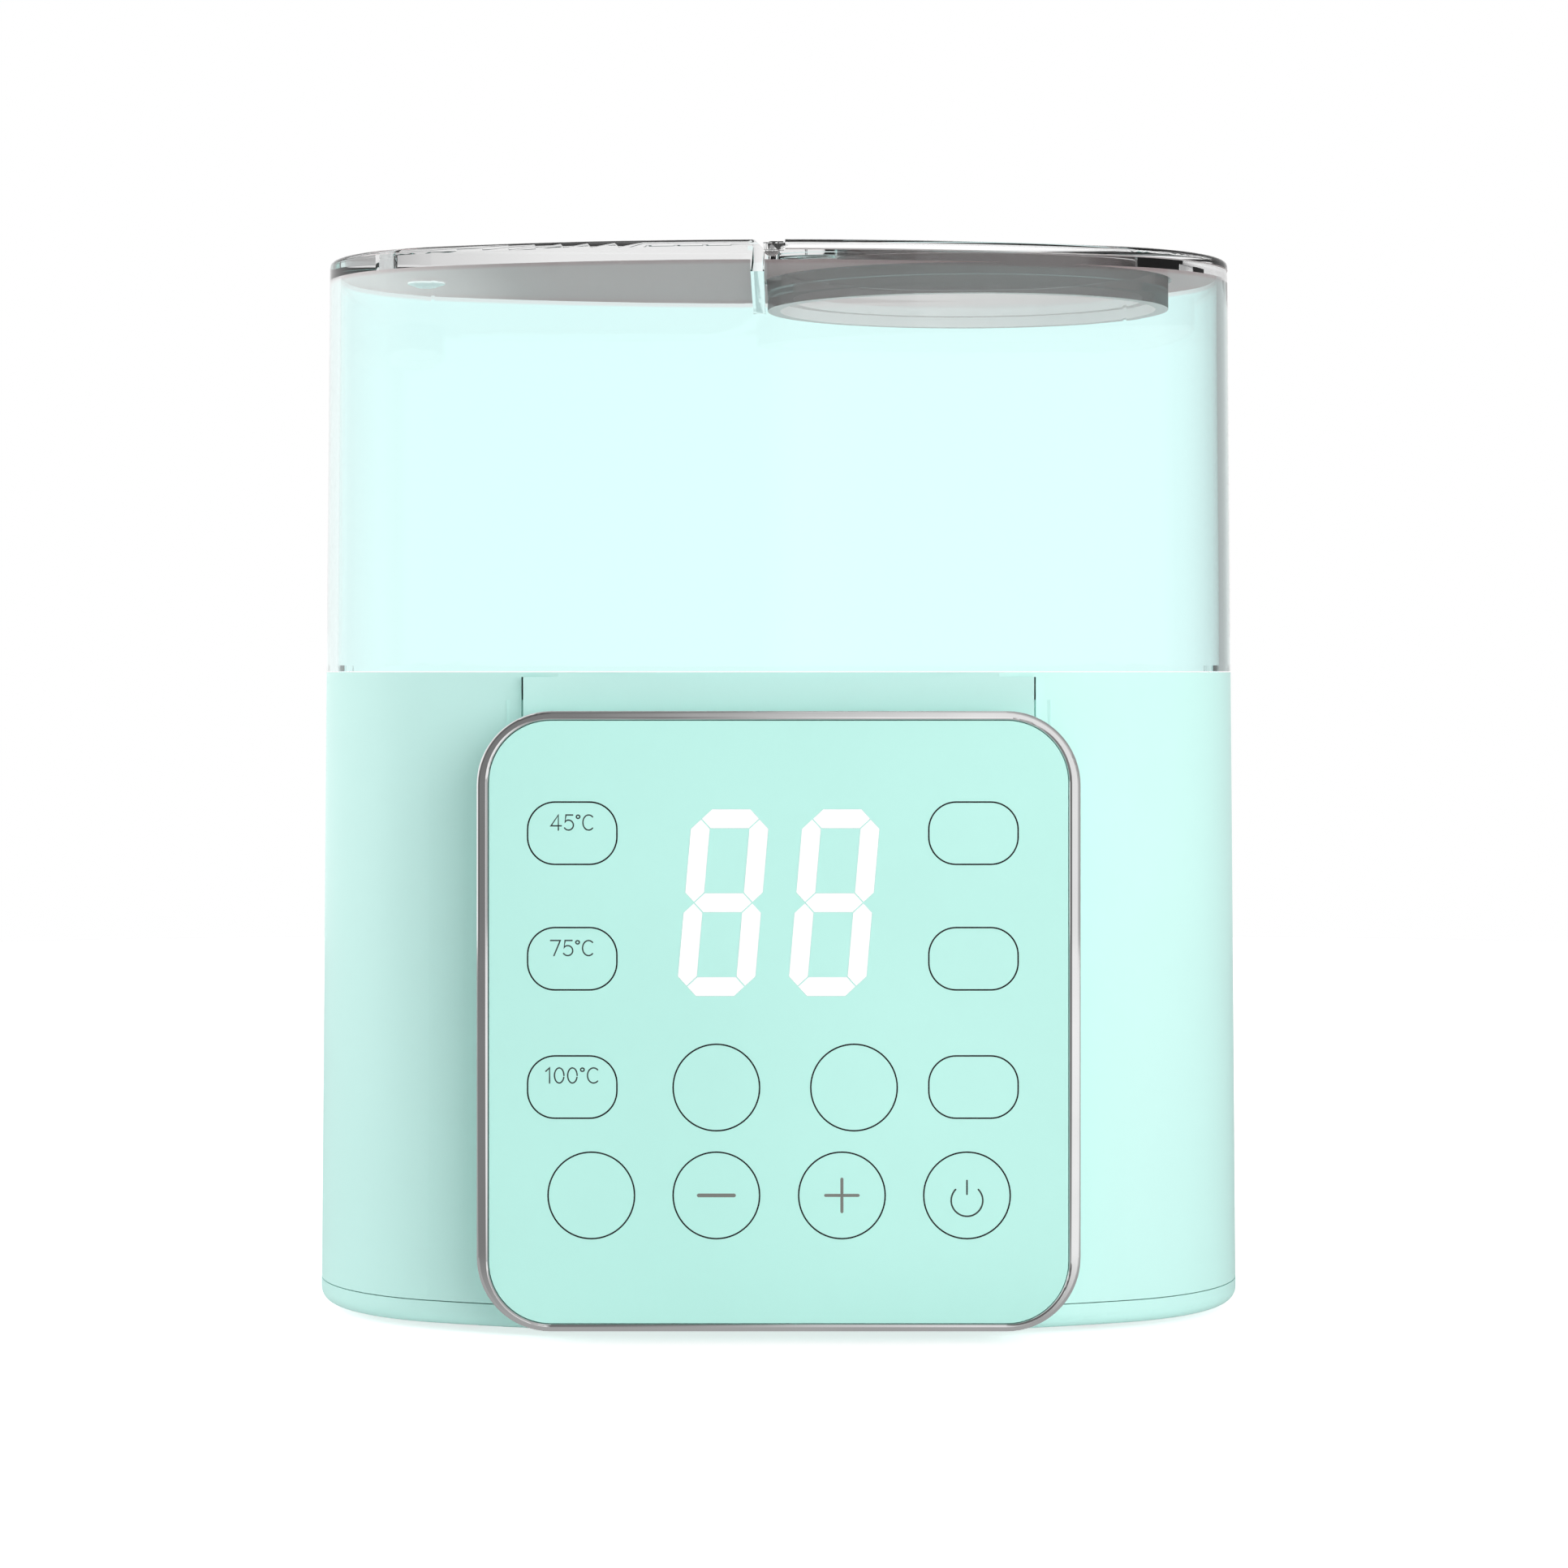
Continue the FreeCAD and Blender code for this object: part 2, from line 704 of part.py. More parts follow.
def make_water_tank():
    body = new_body("water_tank")
    flange_top = "ledge_top + ledge_thickness"
    add_slab(body, "XY", "tank_bottom", flange_top, lambda sketch: draw_oval(sketch, "tank_inset"))
    add_slab(body, "XY", "ledge_top", flange_top, lambda sketch: draw_oval(sketch, "tank_flange_inset"))
    cut_slab(body, "XY", "ledge_top", flange_top,
             lambda sketch: draw_box(sketch, "0 - half_length", "half_length", "0 - half_length",
                                     "wall + flange_gap - fascia_depth"))
    cut_slab(body, "XY", "tank_bottom + tank_floor", flange_top,
             lambda sketch: draw_oval(sketch, "tank_inset + tank_wall"))
    cut_slab(body, "XY", "tank_bottom", "tank_bottom + tank_floor",
             lambda sketch: draw_circle(sketch, 0, 0, "tank_hole"))


def make_rim_ring():
    body = new_body("rim_ring")
    plate_low = "rim_height - rim_thickness"
    inner = "tank_inset + tank_wall + skirt_gap + skirt_wall"

    def plate(sketch):
        draw_oval(sketch, "rim_inset")
        draw_oval(sketch, inner)
    add_slab(body, "XY", plate_low, "rim_height", plate)

    def skirt(sketch):
        draw_oval(sketch, "tank_inset + tank_wall + skirt_gap")
        draw_oval(sketch, inner)
    add_slab(body, "XY", "rim_height - skirt_drop - rim_thickness", plate_low, skirt)

    def slots(sketch):
        for near, far in both_sides("tab_near - tab_room", "tab_lower + tab_room"):
            draw_box(sketch, near, far, "0 - tab_half - tab_room", "tab_half + tab_room")
    cut_slab(body, "XY", plate_low, "rim_height", slots)
    cut_slab(body, "XY", plate_low, "rim_height", flat_front)


def make_rim_gasket():
    body = new_body("rim_gasket")

    def outline(sketch):
        draw_oval(sketch, "tank_inset - 1")
        draw_oval(sketch, "tank_inset + tank_wall - 0.4")
    add_slab(body, "XY", "ledge_top + ledge_thickness", "rim_height - rim_thickness", outline)


def make_heater():
    plate = new_body("heating_plate")
    seat = "tank_bottom + tank_floor + gasket_thickness"
    revolve(plate, ((0, "0 - plate_boss_depth"), ("plate_boss", "0 - plate_boss_depth"),
                    ("plate_boss", 0), ("plate_radius", 0), ("plate_radius", "plate_thickness"),
                    (0, "plate_thickness")))
    for x, y in QUARTERS:
        cut_slab(plate, "XY", "0 - plate_boss_depth", -1, heater_screw_hole(x, y))
    place(plate, 0, 0, seat)
    ring("plate_gasket", "plate_radius - 0.5", "plate_boss + 0.6", "tank_bottom + tank_floor",
         "gasket_thickness")
    clamp = new_body("heater_clamp")
    boss_low = "tank_bottom + tank_floor + gasket_thickness - plate_boss_depth"
    clamp_low = "(%s) - clamp_thickness" % boss_low
    revolve(clamp, (("clamp_hole", clamp_low), ("clamp_radius", clamp_low), ("clamp_radius", "tank_bottom"),
                    ("plate_boss + 0.4", "tank_bottom"), ("plate_boss + 0.4", boss_low),
                    ("clamp_hole", boss_low)))
    for x, y in QUARTERS:
        cut_slab(clamp, "XY", clamp_low, boss_low, heater_screw_hole(x, y))
    items = [screw("heater_screw_%d" % index, "heater_screw_length", "heater_screw_head",
                   "heater_screw_circle * %d" % x, "heater_screw_circle * %d" % y,
                   "(%s) - heater_screw_head - 0.05" % clamp_low, "+z")
             for index, (x, y) in enumerate(QUARTERS)]
    group("heater_screws", items)
    make_heating_element(boss_low)
    make_heater_controls(boss_low, clamp_low)


def heater_screw_hole(x, y):
    """Draws one screw's hole on the heater's screw circle, in the direction (x, y)."""
    def draw(sketch):
        draw_circle(sketch, "heater_screw_circle * %d" % x, "heater_screw_circle * %d" % y,
                    "screw_radius + 0.05")
    return draw


def make_heating_element(boss_low):
    """A tube bent into an open ring under the plate, with a downward pin at each end."""
    tube = doc.addObject("Part::Torus", "element_ring")
    bind(tube, Radius1="element_radius", Radius2="element_tube")
    tube.Angle3 = 180 + 2 * ELEMENT_END
    tube.Placement = FreeCAD.Placement(FreeCAD.Vector(),
                                       FreeCAD.Rotation(FreeCAD.Vector(0, 0, 1), -ELEMENT_END))
    place(tube, 0, 0, "(%s) - element_tube - element_gap" % boss_low)
    pins = [cylinder("element_pin_%d" % index, "element_pin", "element_pin_length",
                     "element_radius * cos(%d deg)" % turn, "element_radius * sin(%d deg)" % turn,
                     "(%s) - element_tube - element_pin_length" % boss_low)
            for index, turn in enumerate((-ELEMENT_END, 180 + ELEMENT_END))]
    join("heating_element", [tube] + pins)


def make_heater_controls(boss_low, clamp_low):
    body = new_body("thermostat")
    revolve(body, ((0, 0), (6.5, 0), (6.5, 3), (8, 3), (8, 6.2), (0, 6.2)))
    place(body, 0, 0, "(%s) - 6.3" % boss_low)
    fuse = doc.addObject("Part::Cylinder", "fuse_body")
    bind(fuse, Radius=2, Height=14)
    fuse.Placement = FreeCAD.Placement(FreeCAD.Vector(), FreeCAD.Rotation(FreeCAD.Vector(0, 1, 0), 90))
    place(fuse, -7, 33, "(%s) - 2.1" % clamp_low)
    fuse.Label = "thermal_fuse"
    kept.append(fuse)
    sensor = cylinder("temperature_sensor", 2.5, 5, -34, 0, "(%s) - 5.05" % clamp_low)
    kept.append(sensor)


# ---------------------------------------------------------------------------------------------------
# Bottle basket
# ---------------------------------------------------------------------------------------------------

def make_bottle_basket():
    body = new_body("bottle_basket")
    outer = "well_radius + well_wall"
    plate_low = "basket_top - basket_plate"
    add_slab(body, "XY", plate_low, "basket_top", lambda sketch: draw_oval(sketch, "basket_inset"))
    for side in ("0 - ", ""):
        add_slab(body, "XY", "well_floor", plate_low,
                 lambda sketch: draw_circle(sketch, side + "well_x", 0, outer))
    for side in ("0 - ", ""):
        cut_slab(body, "XY", "well_floor + well_bottom", "basket_top",
                 lambda sketch: draw_circle(sketch, side + "well_x", 0, "well_radius"))
        cut_slab(body, "XY", "well_floor", "well_floor + well_bottom",
                 lambda sketch: draw_circle(sketch, side + "well_x", 0, "drain_radius"))

    def stub_feet(sketch):
        for x, y in BASKET_FEET:
            draw_circle(sketch, x, y, "stub_radius")
    add_slab(body, "XY", "tank_bottom + tank_floor + 0.3", "well_floor + 1", stub_feet)

    def posts(sketch):
        for y in ("0 - handle_span", "handle_span"):
            draw_circle(sketch, 0, y, "post_pin")
    cut_slab(body, "XY", plate_low, "basket_top", posts)


def make_basket_handle():
    """A low bar on two posts, which fingers reach under."""
    body = new_body("basket_handle")
    reach = "handle_span + handle_bar"
    bar_low = "handle_top - handle_bar"

    def bar(sketch):
        draw_round_box(sketch, "0 - handle_bar", "handle_bar", "0 - (%s)" % reach, reach, 2)
    add_slab(body, "XY", bar_low, "handle_top", bar)

    def posts(sketch):
        for y in ("0 - handle_span", "handle_span"):
            draw_circle(sketch, 0, y, "post_pin - 0.05")
    add_slab(body, "XY", "basket_top - basket_plate", bar_low, posts)


# ---------------------------------------------------------------------------------------------------
# Cover and hatch
# ---------------------------------------------------------------------------------------------------

COVER_LOW = "rim_height + cover_gap"
LID_LOW = "cover_top - hatch_thickness"
LID_SEAT = "cover_top - hatch_thickness - hatch_gap"


def axis_circle(radius):
    """Draws a circle about the hatch's hinge axis on an XZ sketch."""
    return lambda sketch: draw_circle(sketch, "hinge_x", "hinge_z", radius)


def make_clear_cover():
    body = new_body("clear_cover")
    add_slab(body, "XY", COVER_LOW, "cover_top", lambda sketch: draw_oval(sketch, "rim_inset"),
             draft="draft")
    doc.recompute()
    round_edges(body, "cover_fillet", at_level("z", number("cover_top")))
    cut_slab(body, "XY", COVER_LOW, "ceiling",
             lambda sketch: draw_oval(sketch, "rim_inset + cover_wall"), draft="draft")
    gap_left = "hinge_x - barrel_radius - hatch_gap"

    def lid_seat(sketch):
        draw_polygon(sketch, ((gap_left, LID_SEAT), ("half_length + 5", LID_SEAT),
                              ("half_length + 5", "cover_top + 2"), (gap_left + " - 4", "cover_top + 2"),
                              (gap_left, LID_LOW)))
    cut_slab(body, "XZ", "0 - 65", "65", lid_seat)
    reach = "barrel_half + hatch_gap"
    for low, high in both_sides(reach, reach + " + lug_width"):
        add_slab(body, "XZ", low, high,
                 lambda sketch: draw_box(sketch, gap_left, "hinge_x + 2.6", LID_SEAT + " - 1",
                                         "cover_top - 0.6"))
        cut_slab(body, "XZ", low, high, axis_circle("pin_radius + 0.02"))
    cut_slab(body, "XZ", "0 - (%s)" % reach, reach, axis_circle("barrel_radius + hatch_gap"))
    cut_slab(body, "XY", "ceiling - 1", LID_SEAT + " + 0.5",
             lambda sketch: draw_circle(sketch, "collar_x", 0, "collar_radius + collar_gap"))
    add_slab(body, "XY", "rib_bottom", "ceiling",
             lambda sketch: draw_box(sketch, "rib_left", "rib_right", -53, 53))
    cut_slab(body, "XY", "ceiling - 1", "cover_top + 1",
             lambda sketch: draw_circle(sketch, "vent_x", 0, "vent_radius - 0.5"))
    for low, high, reach in ((COVER_LOW, "rim_height + 1.6", "tab_upper"),
                             ("rim_height - 2.3", COVER_LOW, "tab_lower")):
        for near, far in both_sides("tab_near", reach):
            add_slab(body, "XY", low, high,
                     lambda sketch: draw_box(sketch, near, far, "0 - tab_half", "tab_half"))

    def finger_notch(sketch):
        draw_box(sketch, 101.9, 106, -9, 9)
    cut_slab(body, "XY", LID_SEAT + " - 1.2", LID_SEAT + " + 0.5", finger_notch)


def make_steam_vent():
    """A pressed-in grommet with a through hole, its flange under the ceiling."""
    body = new_body("steam_vent")
    depth = "cover_top - ceiling"
    revolve(body, ((1, -1.1), ("vent_radius", -1.1), ("vent_flange", -0.4), ("vent_flange", 0),
                   ("vent_radius - 0.55", 0), ("vent_radius - 0.55", depth), (1, depth)))
    place(body, "vent_x", 0, "ceiling")


def make_hinge_pins():
    pins = [cylinder("hinge_pin_back", "pin_radius", 7, "hinge_x", "barrel_half - 3.6", "hinge_z", along="y"),
            cylinder("hinge_pin_front", "pin_radius", 7, "hinge_x", "0 - barrel_half - 3.4", "hinge_z",
                     along="y")]
    group("hinge_pins", pins)


def make_hatch_lid():
    body = new_body("hatch_lid")
    inset = "rim_inset + (%s - rim_height) * tan(draft * 1deg)" % LID_LOW
    add_slab(body, "XY", LID_LOW, "cover_top", lambda sketch: draw_oval(sketch, inset), draft="draft")
    doc.recompute()
    round_edges(body, "hatch_fillet", at_level("z", number("cover_top")))
    cut_slab(body, "XY", LID_LOW, "cover_top",
             lambda sketch: draw_box(sketch, "0 - half_length", "hinge_x", -65, 65))
    add_slab(body, "XZ", "0 - barrel_half", "barrel_half", axis_circle("barrel_radius"))
    for side in (-1, 1):
        near, far = ("0 - 65", "0 - barrel_half") if side < 0 else ("barrel_half", "65")
        cut_slab(body, "XY", LID_LOW, "cover_top",
                 lambda sketch: draw_box(sketch, "hinge_x - 5", "hinge_x + 2.9", near, far))

    def collar(sketch):
        draw_circle(sketch, "collar_x", 0, "collar_radius")
        draw_circle(sketch, "collar_x", 0, "collar_radius - collar_wall")
    add_slab(body, "XY", "collar_bottom", LID_LOW, collar)

    def step(sketch):
        draw_circle(sketch, "collar_x", 0, "collar_radius - collar_wall")
        draw_circle(sketch, "collar_x", 0, "collar_radius - 2 * collar_wall")
    add_slab(body, "XY", "collar_bottom + 2.4", "collar_bottom + 4.4", step)
    for low, high in (("barrel_half - 4", "barrel_half"), ("0 - barrel_half", "4 - barrel_half")):
        cut_slab(body, "XZ", low, high, axis_circle("pin_radius + 0.05"))


# ---------------------------------------------------------------------------------------------------
# Control panel
# ---------------------------------------------------------------------------------------------------

def panel_outline(inset):
    """Draws the panel's outline, or one parallel to it, on an XZ sketch."""
    def draw(sketch):
        draw_round_box(sketch, "0 - panel_width / 2 + (%s)" % inset, "panel_width / 2 - (%s)" % inset,
                       "panel_low + (%s)" % inset, "panel_high - (%s)" % inset,
                       "panel_corner - (%s)" % inset)
    return draw


def face_outline(grow):
    """Draws the face's outline inside the frame, grown or shrunk."""
    def draw(sketch):
        half = "panel_width / 2 - frame_side + (%s)" % grow
        draw_round_box(sketch, "0 - (%s)" % half, half, "panel_low + frame_foot - (%s)" % grow,
                       "panel_high - frame_top + (%s)" % grow, "panel_corner - frame_side + (%s)" % grow)
    return draw


def key_outline(name, grow):
    """Draws one key's outline, grown by a margin."""
    def draw(sketch):
        if name in ROUND_KEYS:
            x, z = ROUND_KEYS[name]
            draw_circle(sketch, x, z, "key_round + (%s)" % grow)
            return
        x, z = WIDE_KEYS[name]
        draw_round_box(sketch, "%s - key_width / 2 - (%s)" % (x, grow), "%s + key_width / 2 + (%s)" % (x, grow),
                       "%s - key_height / 2 - (%s)" % (z, grow), "%s + key_height / 2 + (%s)" % (z, grow),
                       "key_corner + (%s)" % grow)
    return draw


def make_panel_frame():
    body = new_body("panel_frame")
    add_slab(body, "XZ", "frame_back", "panel_depth", panel_outline(0))
    cut_slab(body, "XZ", "frame_back", "panel_depth", face_outline(0.1))
    round_edges(body, 0.7, at_level("y", -number("panel_depth")))


FACE_FRONT = "panel_depth - face_recess"
FACE_BACK = "panel_depth - face_recess - face_thickness"


def make_panel_face():
    body = new_body("panel_face")
    add_slab(body, "XZ", FACE_BACK, FACE_FRONT, face_outline(0))

    def openings(sketch):
        for name in list(ROUND_KEYS) + list(WIDE_KEYS):
            key_outline(name, "key_gap")(sketch)
    cut_slab(body, "XZ", FACE_BACK, FACE_FRONT, openings)
    for side in (-1, 1):
        cut_slab(body, "XZ", FACE_BACK, FACE_FRONT, digit_segments(side, 0.03))


def segment_points(side, low_end, high_end, cross, grow):
    """A six-cornered bar of the leaning digit.

    low_end and high_end are the bar's tips and cross is its half-width direction, all as
    (across, up) pairs of formulas from the middle of the digit.
    """
    points = []
    half = "(segment_width / 2 - segment_gap / 2 + %s)" % grow
    for (end_u, end_v), inward in ((low_end, 1), (high_end, -1)):
        along_u, along_v = cross[1] * inward, cross[0] * inward
        tip = "(segment_gap / 2 - %s)" % grow
        tip_u = "%s + %d * %s" % (end_u, along_u, tip)
        tip_v = "%s + %d * %s" % (end_v, along_v, tip)
        shoulder_u = "%s + %d * %s" % (tip_u, along_u, half)
        shoulder_v = "%s + %d * %s" % (tip_v, along_v, half)
        first, last = (-1, 1) if inward > 0 else (1, -1)
        for turn in (first, 0, last):
            if turn == 0:
                points.append((tip_u, tip_v))
            else:
                points.append(("%s + %d * %s" % (shoulder_u, turn * cross[0], half),
                               "%s + %d * %s" % (shoulder_v, turn * cross[1], half)))
    middle = "(digit_low + digit_high) / 2"
    return [("%d * digit_pitch / 2 + %s + (%s) * tan(digit_lean * 1deg)" % (side, u, v),
             "%s + %s" % (middle, v)) for u, v in points]


def digit_segments(side, grow):
    """Draws one digit's seven bars on an XZ sketch."""
    across = "(digit_width - segment_width) / 2"
    up = "(digit_high - digit_low - segment_width) / 2"
    level, upright = (0, 1), (1, 0)
    bars = [(("0 - " + across, height), (across, height), level) for height in (up, "0", "0 - " + up)]
    for column in (across, "0 - " + across):
        bars.append(((column, "0"), (column, up), upright))
        bars.append(((column, "0 - " + up), (column, "0"), upright))

    def draw(sketch):
        for low_end, high_end, cross in bars:
            draw_polygon(sketch, segment_points(side, low_end, high_end, cross, grow))
    return draw


def make_digit_display():
    body = new_body("digit_segments")
    for side in (-1, 1):
        add_slab(body, "XZ", FACE_BACK, FACE_FRONT, digit_segments(side, 0))
    body = new_body("display_module")

    def outline(sketch):
        draw_round_box(sketch, -26, 26, "digit_low - 3", "digit_high + 3", 1.5)
    add_slab(body, "XZ", "board_front", FACE_BACK + " - 0.1", outline)


def make_keys():
    flange_front = FACE_BACK + " - 0.3"
    for name in list(ROUND_KEYS) + list(WIDE_KEYS):
        body = new_body(name)
        flange_back = flange_front + " - key_flange_thickness"
        add_slab(body, "XZ", flange_back, FACE_FRONT, key_outline(name, 0))
        add_slab(body, "XZ", flange_back, flange_front, key_outline(name, "key_flange"))


def make_control_board():
    body = new_body("control_board")
    low = "board_front - board_thickness"
    add_slab(body, "XZ", low, "board_front", panel_outline(4.2))

    def screw_holes(sketch):
        for x, z in PANEL_POSTS:
            draw_circle(sketch, x, z, 1.0)
    cut_slab(body, "XZ", low, "board_front", screw_holes)
    switches = []
    for name, (x, z) in list(ROUND_KEYS.items()) + list(WIDE_KEYS.items()):
        item = doc.addObject("Part::Box", name + "_switch")
        bind(item, Length=6, Width="switch_height", Height=6)
        place(item, x - 3, "0 - board_front - switch_height", z - 3)
        switches.append(item)
    group("key_switches", switches)


def make_panel_tray():
    body = new_body("panel_tray")
    add_slab(body, "XZ", "tray_back", "tray_front", panel_outline("tray_inset"))
    cut_slab(body, "XZ", "tray_back + tray_wall", "tray_front", panel_outline("tray_inset + tray_wall"))

    def posts(sketch):
        for x, z in PANEL_POSTS:
            draw_circle(sketch, x, z, 2.2)
        for x, z in PANEL_SCREWS:
            draw_circle(sketch, x, z, 3.0)
    add_slab(body, "XZ", "tray_back + tray_wall", "board_front - board_thickness", posts)

    def pilots(sketch):
        for x, z in PANEL_SCREWS:
            draw_circle(sketch, x, z, "screw_radius")
    cut_slab(body, "XZ", "tray_back", "board_front - board_thickness - 0.6", pilots)

    cut_slab(body, "XZ", "tray_back", "tray_back + tray_wall", cable_slot)
    items = [screw("panel_screw_%d" % index, 6, 1.0, x, "0 - fascia_depth + wall + 1.05", z, "-y")
             for index, (x, z) in enumerate(PANEL_SCREWS)]
    group("panel_screws", items)


# ---------------------------------------------------------------------------------------------------
# Electronics in the base
# ---------------------------------------------------------------------------------------------------

def make_power_board():
    body = new_body("power_board")
    high = "power_board_z + board_thickness"

    def outline(sketch):
        draw_box(sketch, "0 - power_board_half_x", "power_board_half_x", "power_board_low_y",
                 "power_board_high_y")
    add_slab(body, "XY", "power_board_z", high, outline)

    def holes(sketch):
        for x, y in BOARD_POSTS:
            draw_circle(sketch, x, y, "screw_radius + bore_gap")
    cut_slab(body, "XY", "power_board_z", high, holes)
    items = [screw("board_screw_%d" % index, 7, 1.2, x, y, "%s + 1.25" % high, "-z")
             for index, (x, y) in enumerate(BOARD_POSTS)]
    group("board_screws", items)
    core = block("transformer_core", 24, 14, 14, -36, 20, high)
    coil = block("transformer_coil", 17, 20, 11, -36, 20, high + " + 1.5")
    join("transformer", [core, coil])
    relay = block("relay", 19, 15.5, 13, -36, -6, high)
    kept.append(relay)
    capacitor = cylinder("capacitor", 6.3, 13, 38, 22, high)
    kept.append(capacitor)
    connector = block("mains_connector", 20, 8, 9, 8, 32, high)
    kept.append(connector)


def bent_path(points, radius):
    """Straight runs joined by tangent arcs."""
    edges = []
    start = points[0]
    for before, corner, after in zip(points, points[1:], points[2:]):
        back = (before - corner).normalize()
        ahead = (after - corner).normalize()
        half_turn = back.getAngle(ahead) / 2
        reach = radius / math.tan(half_turn)
        enter = corner + back * reach
        leave = corner + ahead * reach
        bisector = (back + ahead).normalize()
        middle = corner + bisector * (radius / math.sin(half_turn) - radius)
        edges.append(Part.LineSegment(start, enter).toShape())
        edges.append(Part.Arc(enter, middle, leave).toShape())
        start = leave
    edges.append(Part.LineSegment(start, points[-1]).toShape())
    return Part.Wire(edges)


def make_wiring():
    """Two leads from the element's pins to the mains connector, and the panel's ribbon."""
    level = number("power_board_z + board_thickness") + 4.5
    boss_low = "tank_bottom + tank_floor + gasket_thickness - plate_boss_depth"
    pin_low = number(boss_low + " - element_tube - element_pin_length")
    angle = math.radians(ELEMENT_END)
    leads = []
    for side, target in ((1, 12.0), (-1, 4.0)):
        pin_x = side * number("element_radius") * math.cos(angle)
        pin_y = -number("element_radius") * math.sin(angle)
        points = [FreeCAD.Vector(pin_x, pin_y, pin_low), FreeCAD.Vector(pin_x, pin_y, level),
                  FreeCAD.Vector(target, 27.6, level)]
        path = bent_path(points, 3.0)
        section = Part.Wire(Part.makeCircle(1.1, points[0], FreeCAD.Vector(0, 0, 1)))
        leads.append(path.makePipeShell([section], True, True))
    feature = doc.addObject("Part::Feature", "heater_leads")
    feature.Shape = Part.makeCompound(leads)
    feature.Placement = FreeCAD.Placement()
    feature.Label = "heater_leads"
    kept.append(feature)
    socket = block("ribbon_socket", 16, 6, 7, 0, -20, "power_board_z + board_thickness")
    kept.append(socket)
    body = new_body("ribbon_cable")
    upper = ((-55.3, 20.4), (-46, 20.4), (-42, 18.9), (-34, 18.9), (-30, 20.4), (-23, 20.4))
    lower = ((-23, 19.6), (-29.7, 19.6), (-33.7, 18.1), (-42.3, 18.1), (-46.3, 19.6), (-55.3, 19.6))
    add_slab(body, "YZ", -7, 7, lambda sketch: draw_polygon(sketch, upper + lower))


# ---------------------------------------------------------------------------------------------------
# Whole model
# ---------------------------------------------------------------------------------------------------

def check_and_export():
    """Stop on any failed object, then write each sub-part to its own file."""
    doc.recompute()
    for item in doc.Objects:
        if {"Invalid", "Error"} & set(item.State):
            raise RuntimeError("%s failed: %s" % (item.Name, item.State))
        if item.TypeId == "PartDesign::Pocket" and item.BaseFeature:
            if item.Shape.Volume >= item.BaseFeature.Shape.Volume - 0.01:
                raise RuntimeError("%s of %s cuts nothing" % (item.Name, item.getParentGeoFeatureGroup().Label))
    os.makedirs("parts", exist_ok=True)
    for item in kept:
        if item.Shape.isNull() or not item.Shape.isValid():
            raise RuntimeError("%s has no valid shape" % item.Label)
        item.Shape.exportStep("parts/%s.step" % item.Label)
        box = item.Shape.BoundBox
        print("%-20s %2d solid(s) %10.1f mm3  X %7.2f %7.2f  Y %7.2f %7.2f  Z %7.2f %7.2f" % (
            item.Label, len(item.Shape.Solids), item.Shape.Volume, box.XMin, box.XMax, box.YMin,
            box.YMax, box.ZMin, box.ZMax))


make_outer_housing()
make_base_cover()
make_front_fascia()
make_rubber_feet()
make_base_screws()
make_cord_gland()
make_water_tank()
make_rim_ring()
make_rim_gasket()
make_heater()
make_bottle_basket()
make_basket_handle()
make_clear_cover()
make_steam_vent()
make_hinge_pins()
make_hatch_lid()
make_panel_frame()
make_panel_face()
make_digit_display()
make_keys()
make_control_board()
make_panel_tray()
make_power_board()
make_wiring()
check_and_export()
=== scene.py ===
"""Looks for the twin bottle warmer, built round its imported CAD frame. Metres, +Z up, key panel towards -Y."""

import json
import math

import bmesh
import bpy
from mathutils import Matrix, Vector


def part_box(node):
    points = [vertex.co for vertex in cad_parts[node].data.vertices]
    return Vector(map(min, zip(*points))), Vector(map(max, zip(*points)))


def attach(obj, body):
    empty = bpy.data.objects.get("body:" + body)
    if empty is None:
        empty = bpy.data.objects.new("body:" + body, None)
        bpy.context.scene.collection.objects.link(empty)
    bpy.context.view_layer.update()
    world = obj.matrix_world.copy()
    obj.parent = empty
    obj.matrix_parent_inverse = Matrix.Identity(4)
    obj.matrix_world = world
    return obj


MM = 0.001
COLLAR_X = 43.5 * MM
TINT_LOW, TINT_HIGH = 233.6 * MM, 234.1 * MM
CEILING_LOW, CEILING_HIGH = 234.0 * MM, 234.4 * MM
LID_UNDERSIDE = 236.8 * MM
CLOSE = 1e-5
FLOOR_RADIUS = 1.3
FLOOR_SIDES = 64


# ---------------------------------------------------------------- node helpers


